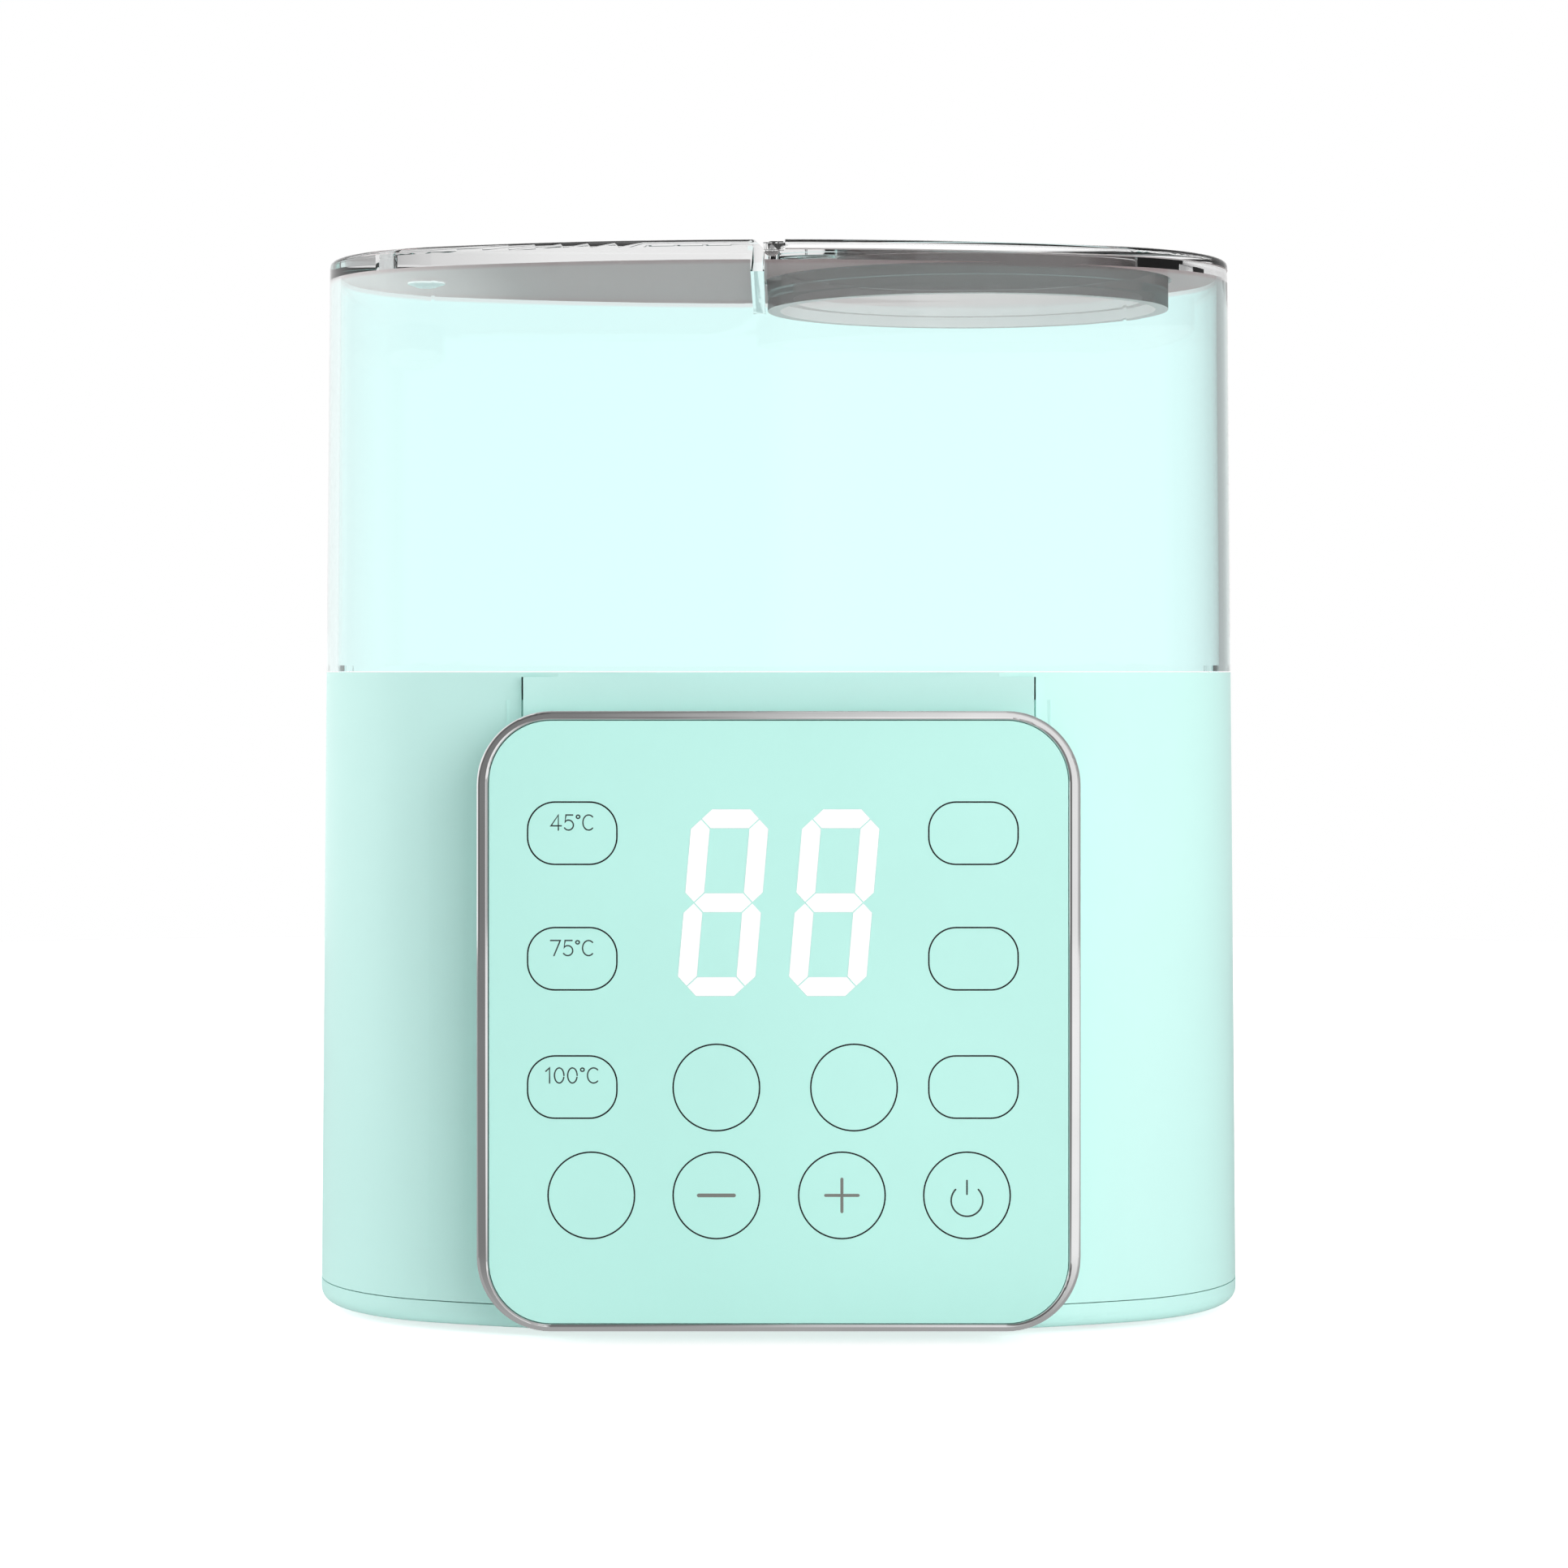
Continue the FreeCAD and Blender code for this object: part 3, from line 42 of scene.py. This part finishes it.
class Nodes:
    """A small builder for one material's node tree."""

    def __init__(self, name):
        self.mat = bpy.data.materials.new(name)
        self.mat.use_nodes = True
        self.tree = self.mat.node_tree
        self.tree.nodes.clear()
        self.out = self.add("ShaderNodeOutputMaterial")
        self.place = self.add("ShaderNodeTexCoord").outputs["Object"]

    def add(self, kind, **values):
        node = self.tree.nodes.new(kind)
        for key, value in values.items():
            setattr(node, key, value)
        return node

    def link(self, source, target):
        self.tree.links.new(source, target)

    def noise(self, scale, detail=2.0):
        node = self.add("ShaderNodeTexNoise")
        node.inputs["Scale"].default_value = scale
        node.inputs["Detail"].default_value = detail
        self.link(self.place, node.inputs["Vector"])
        return node.outputs["Fac"]

    def spread(self, source, low, high):
        node = self.add("ShaderNodeMapRange")
        node.inputs["From Min"].default_value = 0.3
        node.inputs["From Max"].default_value = 0.7
        node.inputs["To Min"].default_value = low
        node.inputs["To Max"].default_value = high
        self.link(source, node.inputs["Value"])
        return node.outputs["Result"]

    def tint(self, source, dark, light):
        node = self.add("ShaderNodeMix", data_type="RGBA")
        node.inputs["A"].default_value = (*dark, 1)
        node.inputs["B"].default_value = (*light, 1)
        self.link(source, node.inputs["Factor"])
        return node.outputs["Result"]

    def bump(self, source, strength, distance):
        node = self.add("ShaderNodeBump")
        node.inputs["Strength"].default_value = strength
        node.inputs["Distance"].default_value = distance
        self.link(source, node.inputs["Height"])
        return node.outputs["Normal"]

    def between(self, source, low, high, start=0.0, end=1.0):
        """Runs from start to end as the source runs from low to high."""
        node = self.add("ShaderNodeMapRange")
        for name, value in (("From Min", low), ("From Max", high), ("To Min", start), ("To Max", end)):
            node.inputs[name].default_value = value
        self.link(source, node.inputs["Value"])
        return node.outputs["Result"]

    def maths(self, operation, *values):
        node = self.add("ShaderNodeMath", operation=operation)
        for socket, value in zip(node.inputs, values):
            if isinstance(value, bpy.types.NodeSocket):
                self.link(value, socket)
            else:
                socket.default_value = value
        return node.outputs[0]

    def parts(self, vector):
        node = self.add("ShaderNodeSeparateXYZ")
        self.link(vector, node.inputs[0])
        return node.outputs

    def principled(self, **values):
        node = self.add("ShaderNodeBsdfPrincipled")
        for key, value in values.items():
            socket = node.inputs[key.replace("_", " ")]
            if isinstance(value, bpy.types.NodeSocket):
                self.link(value, socket)
            else:
                socket.default_value = (*value, 1) if isinstance(value, tuple) and len(value) == 3 else value
        return node.outputs["BSDF"]

    def surface(self, **values):
        self.link(self.principled(**values), self.out.inputs["Surface"])
        return self.mat

    def layered(self, factor, under, over):
        """The over shader laid on the under one by the factor."""
        node = self.add("ShaderNodeMixShader")
        self.link(factor, node.inputs[0])
        self.link(under, node.inputs[1])
        self.link(over, node.inputs[2])
        return node.outputs[0]

    def lets_light_in(self, shader):
        """Ends a clear material: its shadow is nearly as clear as itself."""
        clear = self.add("ShaderNodeBsdfTransparent")
        clear.inputs["Color"].default_value = (0.93, 0.96, 0.96, 1)
        shadow = self.add("ShaderNodeLightPath").outputs["Is Shadow Ray"]
        self.link(self.layered(shadow, shader, clear.outputs[0]), self.out.inputs["Surface"])
        return self.mat


def shade(colour, factor):
    return tuple(min(1.0, c * factor) for c in colour)


def plastic(name, colour, roughness, grain=0.02, glow=0.0):
    n = Nodes(name)
    cloud = n.noise(18, 3)
    fine = n.noise(2600, 2)
    return n.surface(
        Base_Color=n.tint(n.spread(cloud, 0, 1), shade(colour, 0.975), colour),
        Roughness=n.spread(n.noise(55, 4), roughness - 0.03, roughness + 0.04),
        Emission_Color=(1.0, 1.0, 1.0),
        Emission_Strength=glow,
        Normal=n.bump(fine, grain, 0.0002),
    )


def metal(name, colour, roughness, grain):
    n = Nodes(name)
    return n.surface(
        Base_Color=n.tint(n.spread(n.noise(60, 3), 0, 1), shade(colour, 0.93), colour),
        Metallic=1.0,
        Roughness=n.spread(n.noise(grain, 4), roughness * 0.7, roughness * 1.3),
    )


def clear_cover(name):
    """Clear plastic, aqua towards the back; seen from outside, its ceiling's underside is painted grey as its
    reflection, lighter at the far left, with painted glow towards both ends.
    """
    n = Nodes(name)
    x, y, z = n.parts(n.place)
    facing = n.add("ShaderNodeNewGeometry").outputs
    down = n.parts(facing["Normal"])[2]
    outside = n.maths("SUBTRACT", 1.0, facing["Backfacing"])
    aqua = n.tint(n.between(y, -0.055, 0.055), (0.9, 0.998, 0.992), (0.78, 0.98, 0.97))
    tint = n.tint(n.between(z, TINT_LOW, TINT_HIGH), (0, 0, 0), (1, 1, 1))
    mix = n.add("ShaderNodeMix", data_type="RGBA")
    n.link(tint, mix.inputs["Factor"])
    n.link(aqua, mix.inputs["A"])
    mix.inputs["B"].default_value = (0.81, 0.81, 0.81, 1)
    glass = n.principled(Base_Color=mix.outputs["Result"], Roughness=0.0, IOR=1.46, Transmission_Weight=1.0)
    # Painted reflection: a grey for the ceiling's underside, lighter at the far left.
    grey = n.tint(n.between(x, -0.092, -0.05), (0.76, 0.6, 0.6), (0.63, 0.42, 0.43))
    # Painted light: glow rising towards the left and right ends of the ceiling.
    painted_glow_left = n.between(x, -0.06, -0.092, 0.06, 0.4)
    painted_glow_right = n.between(x, 0.05, 0.1, 0.06, 0.26)
    # The painted grey and glow, laid only on the ceiling's underside where it is seen from outside.
    painted_reflection = n.principled(
        Base_Color=grey,
        Roughness=0.5,
        Specular_IOR_Level=0.0,
        Emission_Color=(1.0, 0.86, 0.86),
        Emission_Strength=n.maths("MAXIMUM", painted_glow_left, painted_glow_right),
    )
    ceiling = n.maths("MULTIPLY", n.between(down, -0.9, -0.98), n.between(z, CEILING_LOW, CEILING_HIGH))
    amount = n.maths("MULTIPLY", n.maths("MULTIPLY", ceiling, outside), 0.85)
    return n.lets_light_in(n.layered(amount, glass, painted_reflection))


def clear_hatch(name):
    """Clear plastic; seen from outside, the lid's underside and the collar are painted grey as their
    reflection, darker outside than inside: the collar's outer face is near-black painted shade, with a faint
    painted glow on inner faces and undersides.
    """
    n = Nodes(name)
    x, y, z = n.parts(n.place)
    facing = n.add("ShaderNodeNewGeometry").outputs
    nx, ny, nz = n.parts(facing["Normal"])
    outside = n.maths("SUBTRACT", 1.0, facing["Backfacing"])
    from_middle = n.maths("SUBTRACT", x, COLLAR_X)
    outward = n.maths("ADD", n.maths("MULTIPLY", from_middle, nx), n.maths("MULTIPLY", y, ny))
    outer = n.between(outward, -0.01, 0.01)
    # Painted shade: the collar's outward face near black, its inward face a lighter pinkish grey.
    painted_wall_shade = n.tint(outer, (0.66, 0.57, 0.57), (0.075, 0.06, 0.06))
    under = n.between(nz, -0.5, -0.9)
    mix = n.add("ShaderNodeMix", data_type="RGBA")
    n.link(under, mix.inputs["Factor"])
    n.link(painted_wall_shade, mix.inputs["A"])
    mix.inputs["B"].default_value = (0.7, 0.6, 0.6, 1)
    # Painted light: a faint glow on the inward faces.
    glow = n.maths("MULTIPLY", n.maths("SUBTRACT", 1.0, outer), 0.14)
    glass = n.principled(Base_Color=(0.99, 0.99, 0.99), Roughness=0.0, IOR=1.46, Transmission_Weight=1.0)
    # The painted grey, shade and glow, laid only where the surface is seen from outside.
    painted_reflection = n.principled(
        Base_Color=mix.outputs["Result"],
        Roughness=0.4,
        Specular_IOR_Level=0.0,
        Emission_Color=(1.0, 0.87, 0.87),
        Emission_Strength=n.maths("MAXIMUM", glow, n.maths("MULTIPLY", under, 0.14)),
    )
    below = n.between(z, LID_UNDERSIDE, LID_UNDERSIDE - 0.15 * MM)
    amount = n.maths("MAXIMUM", n.maths("MULTIPLY", below, 0.8), n.maths("MULTIPLY", under, 0.6))
    return n.lets_light_in(n.layered(n.maths("MULTIPLY", amount, outside), glass, painted_reflection))


# ---------------------------------------------------------------- scene


def make_camera():
    data = bpy.data.cameras.new("view")
    data.lens = 92.42
    data.sensor_width = 36
    data.shift_x = 0.0034
    data.shift_y = -0.0712
    data.clip_start = 0.05
    cam = bpy.data.objects.new("view", data)
    cam.location = (0, -0.9275, 0.145)
    cam.rotation_euler = (math.radians(90), 0, 0)
    bpy.context.scene.collection.objects.link(cam)
    bpy.context.scene.camera = cam


def make_view_transform():
    bpy.context.scene.view_settings.view_transform = "Standard"


# Brightness of the studio by azimuth in degrees: 0 is in front, 90 to the right, 180 behind.
STUDIO = (
    (-180, 1.08),
    (-168, 1.08),
    (-150, 1.0),
    (-85, 1.05),
    (-60, 0.3),
    (-35, 0.1),
    (-3, 0.2),
    (3, 0.9),
    (15, 0.6),
    (45, 0.5),
    (65, 0.4),
    (90, 0.35),
    (150, 0.5),
    (170, 1.08),
    (180, 1.08),
)
STUDIO_POWER = 1.1
BACK_DIMMING = 0.35
LIGHT_TARGET = (0, 0, 0.12)


def make_world():
    """White as the camera sees it; what the object mirrors is a soft studio with a dark left front."""
    world = bpy.data.worlds.new("studio")
    bpy.context.scene.world = world
    world.use_nodes = True
    tree = world.node_tree
    tree.nodes.clear()

    def add(kind, **values):
        node = tree.nodes.new(kind)
        for key, value in values.items():
            setattr(node, key, value)
        return node

    def maths(operation, a, b):
        node = add("ShaderNodeMath", operation=operation)
        for socket, value in zip(node.inputs, (a, b)):
            if isinstance(value, bpy.types.NodeSocket):
                tree.links.new(value, socket)
            else:
                socket.default_value = value
        return node.outputs[0]

    def ramp(source, stops):
        node = add("ShaderNodeValToRGB")
        tree.links.new(source, node.inputs[0])
        stop_list = node.color_ramp.elements
        while len(stop_list) < len(stops):
            stop_list.new(0.5)
        for stop, (position, value) in zip(stop_list, stops):
            stop.position = position
            stop.color = (value, value, value, 1)
        return node.outputs[0]

    split = add("ShaderNodeSeparateXYZ")
    tree.links.new(add("ShaderNodeTexCoord").outputs["Generated"], split.inputs[0])
    x, y, z = split.outputs
    azimuth = maths("ARCTAN2", x, maths("MULTIPLY", y, -1.0))
    turn = maths("MULTIPLY_ADD", azimuth, 1 / (2 * math.pi))
    turn.node.inputs[2].default_value = 0.5
    around = ramp(turn, [(a / 360 + 0.5, v / STUDIO_POWER) for a, v in STUDIO])
    height = maths("MULTIPLY_ADD", z, 0.5)
    height.node.inputs[2].default_value = 0.5
    tall = ramp(height, [(0.0, 1.0), (0.6, 1.0), (0.8, 0.85), (1.0, 0.85)])
    product = add("ShaderNodeMix", data_type="RGBA", blend_type="MULTIPLY")
    product.inputs["Factor"].default_value = 1
    tree.links.new(around, product.inputs["A"])
    tree.links.new(tall, product.inputs["B"])
    rays = add("ShaderNodeLightPath").outputs
    studio = add("ShaderNodeBackground")
    behind = add("ShaderNodeMapRange")
    for name, value in (("From Min", -0.1), ("From Max", 0.5), ("To Min", 0.0), ("To Max", BACK_DIMMING)):
        behind.inputs[name].default_value = value
    tree.links.new(y, behind.inputs["Value"])
    dimming = maths("MULTIPLY", rays["Is Diffuse Ray"], behind.outputs[0])
    strength = maths("MULTIPLY", maths("SUBTRACT", 1.0, dimming), STUDIO_POWER)
    tree.links.new(strength, studio.inputs["Strength"])
    front = add("ShaderNodeMapRange")
    for name, value in (("From Min", 0.0), ("From Max", -0.2)):
        front.inputs[name].default_value = value
    tree.links.new(y, front.inputs["Value"])
    through = add("ShaderNodeMix", data_type="RGBA")
    tree.links.new(maths("MULTIPLY", rays["Is Transmission Ray"], front.outputs[0]), through.inputs["Factor"])
    tree.links.new(product.outputs["Result"], through.inputs["A"])
    through.inputs["B"].default_value = (0.95, 0.95, 0.95, 1)
    tree.links.new(through.outputs["Result"], studio.inputs["Color"])
    seen = add("ShaderNodeBackground")
    seen.inputs["Color"].default_value = (1, 1, 1, 1)
    mix = add("ShaderNodeMixShader")
    tree.links.new(rays["Is Camera Ray"], mix.inputs[0])
    tree.links.new(studio.outputs[0], mix.inputs[1])
    tree.links.new(seen.outputs[0], mix.inputs[2])
    tree.links.new(mix.outputs[0], add("ShaderNodeOutputWorld").inputs[0])


def area(name, place, target, size, power):
    data = bpy.data.lights.new(name, "AREA")
    data.shape = "RECTANGLE"
    data.size, data.size_y = size
    data.energy = power
    ob = bpy.data.objects.new(name, data)
    ob.location = place
    ob.rotation_euler = (Vector(target) - Vector(place)).to_track_quat("-Z", "Y").to_euler()
    ob.visible_camera = False
    ob.visible_glossy = False
    ob.visible_transmission = False
    bpy.context.scene.collection.objects.link(ob)


def make_floor():
    """A pale disc: even seen through the cover, and mirrored grey on the left and near the front."""
    mesh = bpy.data.meshes.new("floor")
    turns = [2 * math.pi * k / FLOOR_SIDES for k in range(FLOOR_SIDES)]
    points = [(FLOOR_RADIUS * math.cos(t), FLOOR_RADIUS * math.sin(t), 0) for t in turns]
    mesh.from_pydata(points, [], [range(FLOOR_SIDES)])
    ob = bpy.data.objects.new("floor", mesh)
    bpy.context.scene.collection.objects.link(ob)
    n = Nodes("floor")
    x, y, z = n.parts(n.place)
    rays = n.add("ShaderNodeLightPath").outputs
    ground = n.principled(
        Base_Color=n.tint(n.noise(3), (0.93, 0.93, 0.93), (0.95, 0.95, 0.95)),
        Roughness=0.6,
        Emission_Color=(1.0, 1.0, 1.0),
        Emission_Strength=n.between(rays["Is Camera Ray"], 0, 1, 0.1, 0.6),
    )
    side = n.between(x, -0.03, 0.03, 0.22, 0.95)
    near = n.between(y, -0.2, -0.1)
    far = n.maths("SUBTRACT", 1.0, near)
    mirrored = n.maths("ADD", n.maths("MULTIPLY", side, far), n.maths("MULTIPLY", near, 0.4))
    glow = n.add("ShaderNodeEmission")
    n.link(mirrored, glow.inputs["Strength"])
    not_bent = n.maths("SUBTRACT", 1.0, rays["Is Transmission Ray"])
    reflected = n.maths("MULTIPLY", rays["Is Glossy Ray"], not_bent)
    seen_through = n.add("ShaderNodeEmission")
    seen_through.inputs["Strength"].default_value = 0.97
    opaque = n.layered(reflected, ground, glow.outputs[0])
    n.link(n.layered(rays["Is Transmission Ray"], opaque, seen_through.outputs[0]), n.out.inputs["Surface"])
    mesh.materials.append(n.mat)


# ---------------------------------------------------------------- key panel


def arc(x, z, radius, start, end, steps=24):
    """Points of an arc in the panel's plane, in degrees; radius is a number or an (across, up) pair."""
    across, up = radius if isinstance(radius, tuple) else (radius, radius)
    turns = [math.radians(start + (end - start) * k / steps) for k in range(steps + 1)]
    return [(x + across * math.cos(t), z + up * math.sin(t)) for t in turns]


def key_loop(name, grow):
    """A key's outline in the panel's plane, grown by a margin: a circle, or a box with round corners."""
    low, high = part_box(name)
    x, z = (low[0] + high[0]) / 2, (low[2] + high[2]) / 2
    half_x = (high[0] - low[0]) / 2 - KEY_FLANGE + grow
    half_z = (high[2] - low[2]) / 2 - KEY_FLANGE + grow
    corner = min(half_x, half_z) if abs(half_x - half_z) < CLOSE else KEY_CORNER + grow
    loop = []
    for turn, side_x, side_z in ((0, 1, 1), (90, -1, 1), (180, -1, -1), (270, 1, -1)):
        centre = (x + side_x * (half_x - corner), z + side_z * (half_z - corner))
        loop += arc(*centre, corner, turn, turn + 90, 16)
    return loop


# The section of the dark ring that stands in for each key gap's shade, in millimetres: how far outside the
# key's edge, and how deep behind the panel's front.
GAP_SHADE_PROFILE = (
    (0.03, 1.2),
    (0.03, -0.004),
    (-0.06, -0.004),
    (-0.06, -0.02),
    (0.27, -0.02),
    (0.27, -0.002),
    (0.22, -0.002),
    (0.22, 1.2),
)


def make_key_gap_shades():
    """A near-black ring in the gap round each key, painted shade standing in for the gap's shadow, with a fine
    lip over the panel's edge that reads as a dark outline.
    """
    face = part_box("panel_face")[0][1]
    for name in KEYS:
        bm = bmesh.new()
        rims = []
        for grow, depth in GAP_SHADE_PROFILE:
            rims.append([bm.verts.new((x, face + depth * MM, z)) for x, z in key_loop(name, grow * MM)])
        for first, second in zip(rims, rims[1:] + rims[:1]):
            for k in range(len(first)):
                quad = (first[k - 1], first[k], second[k], second[k - 1])
                bm.faces.new(quad)
        bmesh.ops.remove_doubles(bm, verts=bm.verts, dist=1e-7)
        bmesh.ops.recalc_face_normals(bm, faces=bm.faces)
        finish_piece(bm, name + "_gap_shade", mats["key_gap_shade"], "base")


def finish_piece(bm, name, mat, body):
    mesh = bpy.data.meshes.new(name)
    bm.to_mesh(mesh)
    bm.free()
    mesh.materials.append(mat)
    ob = bpy.data.objects.new(name, mesh)
    bpy.context.scene.collection.objects.link(ob)
    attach(ob, body)


def add_stroke(bm, points, width, face):
    """A flat printed line with round ends along points of the panel's plane, a hair above the key."""
    half = width / 2
    sides = []
    for k, (x, z) in enumerate(points):
        before = points[max(k - 1, 0)]
        after = points[min(k + 1, len(points) - 1)]
        first = Vector((x - before[0], z - before[1]))
        second = Vector((after[0] - x, after[1] - z))
        first = first.normalized() if first.length > 1e-9 else second.normalized()
        second = second.normalized() if second.length > 1e-9 else first
        middle = (first + second).normalized()
        reach = half / max(0.5, middle.dot(first))
        across = Vector((-middle[1], middle[0])) * reach
        sides.append((Vector((x, z)) + across, Vector((x, z)) - across))
    start, end = Vector(points[0]), Vector(points[-1])
    ahead = (Vector(points[1]) - start).normalized()
    onward = (end - Vector(points[-2])).normalized()
    sides = cap(start, -ahead, half, first_end=True) + sides + cap(end, onward, half, first_end=False)
    rows = []
    for left, right in sides:
        low, high = left.lerp(right, INK_BEVEL), left.lerp(right, 1 - INK_BEVEL)
        edge = [(left, 0), (low, INK_HEIGHT), (high, INK_HEIGHT), (right, 0)]
        rows.append([bm.verts.new((p[0], face - lift, p[1])) for p, lift in edge])
    for first, second in zip(rows, rows[1:]):
        for k in range(3):
            bm.faces.new((first[k], first[k + 1], second[k + 1], second[k]))


def cap(centre, outward, half, first_end):
    """The narrowing rows that round off a stroke's end."""
    across = Vector((outward[1], -outward[0])) if first_end else Vector((-outward[1], outward[0]))
    rows = []
    for turn in (85, 60, 30):
        t = math.radians(turn)
        middle = centre + outward * half * math.sin(t)
        spread = across * half * math.cos(t)
        rows.append((middle + spread, middle - spread))
    return rows if first_end else rows[::-1]


# Each glyph is strokes on a grid one unit high; the first number is its width.
GLYPHS = {
    "0": (0.62, [arc(0.31, 0.5, (0.28, 0.5), 0, 345)]),
    "1": (0.34, [[(0.02, 0.78), (0.24, 1), (0.24, 0)]]),
    "4": (0.66, [[(0.48, 0), (0.48, 1), (0.02, 0.28), (0.66, 0.28)]]),
    "5": (0.60, [[(0.55, 1), (0.13, 1), (0.07, 0.52)] + arc(0.29, 0.33, (0.3, 0.33), 125, -145)]),
    "7": (0.58, [[(0.0, 1), (0.58, 1), (0.2, 0)]]),
    "deg": (0.24, [arc(0.12, 0.88, 0.11, 0, 345, 12)]),
    "C": (0.70, [arc(0.38, 0.5, (0.36, 0.5), 48, 312)]),
}
LABELS = {
    "low_temp_key": (("4", "5", "deg", "C"), 9.3, 2.3),
    "mid_temp_key": (("7", "5", "deg", "C"), 9.3, 2.3),
    "high_temp_key": (("1", "0", "0", "deg", "C"), 11.5, 2.5),
}
LETTER_GAP = 0.16


def make_key_marks():
    """The temperatures, minus, plus and power signs printed on the keys."""
    for name, (letters, width, rise) in LABELS.items():
        print_label(name, letters, width * MM, rise * MM)
    print_minus()
    print_plus()
    print_power()


def print_label(name, letters, width, rise):
    """Letters across a width, with their middle raised above the key's."""
    x, face, z = key_centre(name)
    total = sum(GLYPHS[letter][0] for letter in letters) + LETTER_GAP * (len(letters) - 1)
    stretch = width / total
    left = x - width / 2
    low = z + rise - LETTER_HEIGHT / 2
    bm = bmesh.new()
    for letter in letters:
        for path in GLYPHS[letter][1]:
            points = [(left + u * stretch, low + v * LETTER_HEIGHT) for u, v in path]
            add_stroke(bm, points, LETTER_STROKE, face)
        left += (GLYPHS[letter][0] + LETTER_GAP) * stretch
    finish_print(bm, name, "key_ink")


def print_minus():
    x, face, z = key_centre("minus_key")
    reach = 3.8 * MM
    bm = bmesh.new()
    add_stroke(bm, [(x - reach, z), (x, z), (x + reach, z)], 0.8 * MM, face)
    finish_print(bm, "minus_key", "key_mark")


def print_plus():
    x, face, z = key_centre("plus_key")
    reach = 3.5 * MM
    stroke = 0.66 * MM
    bm = bmesh.new()
    add_stroke(bm, [(x - reach, z), (x, z), (x + reach, z)], stroke, face)
    for side in (-1, 1):
        steps = (0.5 * MM, 2 * MM, reach)
        add_stroke(bm, [(x, z + side * step) for step in steps], stroke, face)
    finish_print(bm, "plus_key", "key_mark")


def print_power():
    x, face, z = key_centre("power_key")
    stroke = 0.36 * MM
    bm = bmesh.new()
    add_stroke(bm, arc(x, z - 1.1 * MM, 3.4 * MM, 136, 404, 48), stroke, face)
    add_stroke(bm, [(x, z + step * MM) for step in (0.25, 1.5, 3.2)], stroke, face)
    finish_print(bm, "power_key", "key_ink")


def key_centre(name):
    """The middle of a key's front: across, depth and height."""
    low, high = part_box(name)
    return (low[0] + high[0]) / 2, low[1], (low[2] + high[2]) / 2


def finish_print(bm, name, mat):
    bmesh.ops.recalc_face_normals(bm, faces=bm.faces)
    finish_piece(bm, name + "_print", mats[mat], name + "_body")


KEYS = (
    "low_temp_key",
    "mid_temp_key",
    "high_temp_key",
    "upper_mode_key",
    "middle_mode_key",
    "lower_mode_key",
    "round_key_left",
    "round_key_right",
    "timer_key",
    "minus_key",
    "plus_key",
    "power_key",
)
KEY_FLANGE = 1.0 * MM
KEY_CORNER = 5.8 * MM
LETTER_HEIGHT = 3.25 * MM
LETTER_STROKE = 0.3 * MM
INK_HEIGHT = 0.03 * MM
INK_BEVEL = 0.12

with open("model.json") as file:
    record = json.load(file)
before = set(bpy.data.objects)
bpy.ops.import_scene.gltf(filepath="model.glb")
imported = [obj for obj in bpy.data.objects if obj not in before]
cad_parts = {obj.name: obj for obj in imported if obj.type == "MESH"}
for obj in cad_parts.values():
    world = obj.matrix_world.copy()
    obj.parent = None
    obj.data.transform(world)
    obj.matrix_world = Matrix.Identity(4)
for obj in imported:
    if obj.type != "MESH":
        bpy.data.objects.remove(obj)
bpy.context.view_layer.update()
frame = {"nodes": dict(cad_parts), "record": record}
nodes = frame["nodes"]

MINT = (0.60, 0.915, 0.86)
PANEL = (0.525, 0.90, 0.82)
INK = (0.03, 0.045, 0.04)
mats = {
    "mint_shell": plastic("mint_shell", MINT, 0.32),
    "mint_panel": plastic("mint_panel", PANEL, 0.12, 0.004),
    "mint_key": plastic("mint_key", PANEL, 0.14, 0.004),
    "panel_chrome": metal("panel_chrome", (0.9, 0.9, 0.9), 0.06, 40),
    "clear_aqua": clear_cover("clear_aqua"),
    "clear_hatch": clear_hatch("clear_hatch"),
    # Near black: painted shade in each key's gap.
    "key_gap_shade": plastic("key_gap_shade", (0.004, 0.006, 0.006), 0.7),
    "key_ink": plastic("key_ink", INK, 0.5),
    "key_mark": plastic("key_mark", (0.2, 0.205, 0.185), 0.4),
    "white_light": plastic("white_light", (0.95, 0.95, 0.95), 0.3, glow=0.1),
    "white_plastic": plastic("white_plastic", (0.8, 0.82, 0.82), 0.35),
    "grey_plastic": plastic("grey_plastic", (0.2, 0.21, 0.22), 0.45),
    "black_plastic": plastic("black_plastic", (0.015, 0.015, 0.016), 0.45),
    "grey_rubber": plastic("grey_rubber", (0.05, 0.052, 0.055), 0.6),
    "clear_silicone": plastic("clear_silicone", (0.7, 0.75, 0.73), 0.35),
    "bright_steel": metal("bright_steel", (0.62, 0.62, 0.63), 0.2, 300),
    "cast_aluminium": metal("cast_aluminium", (0.6, 0.6, 0.61), 0.35, 300),
    "screw_steel": metal("screw_steel", (0.5, 0.5, 0.5), 0.3, 300),
    "circuit_green": plastic("circuit_green", (0.02, 0.12, 0.05), 0.3),
    "core_iron": metal("core_iron", (0.1, 0.1, 0.11), 0.5, 300),
}
slots = {p["node"]: p["material_slot"] for p in frame["record"]["subparts"]}
for name, ob in nodes.items():
    ob.data.materials.clear()
    ob.data.materials.append(mats[slots[name]])
nodes["hatch_lid"].data.materials[0] = mats["clear_hatch"]
# The steam vent takes the faintly glowing white: a painted highlight.
nodes["steam_vent"].data.materials[0] = mats["white_light"]

make_key_gap_shades()
make_key_marks()
make_floor()
make_camera()
make_world()
make_view_transform()
area("key", (1.2, -1.75, 0.6), LIGHT_TARGET, (1.9, 1.5), 32)
area("left_fill", (-2.3, 0.6, 0.8), LIGHT_TARGET, (1.6, 1.8), 33)
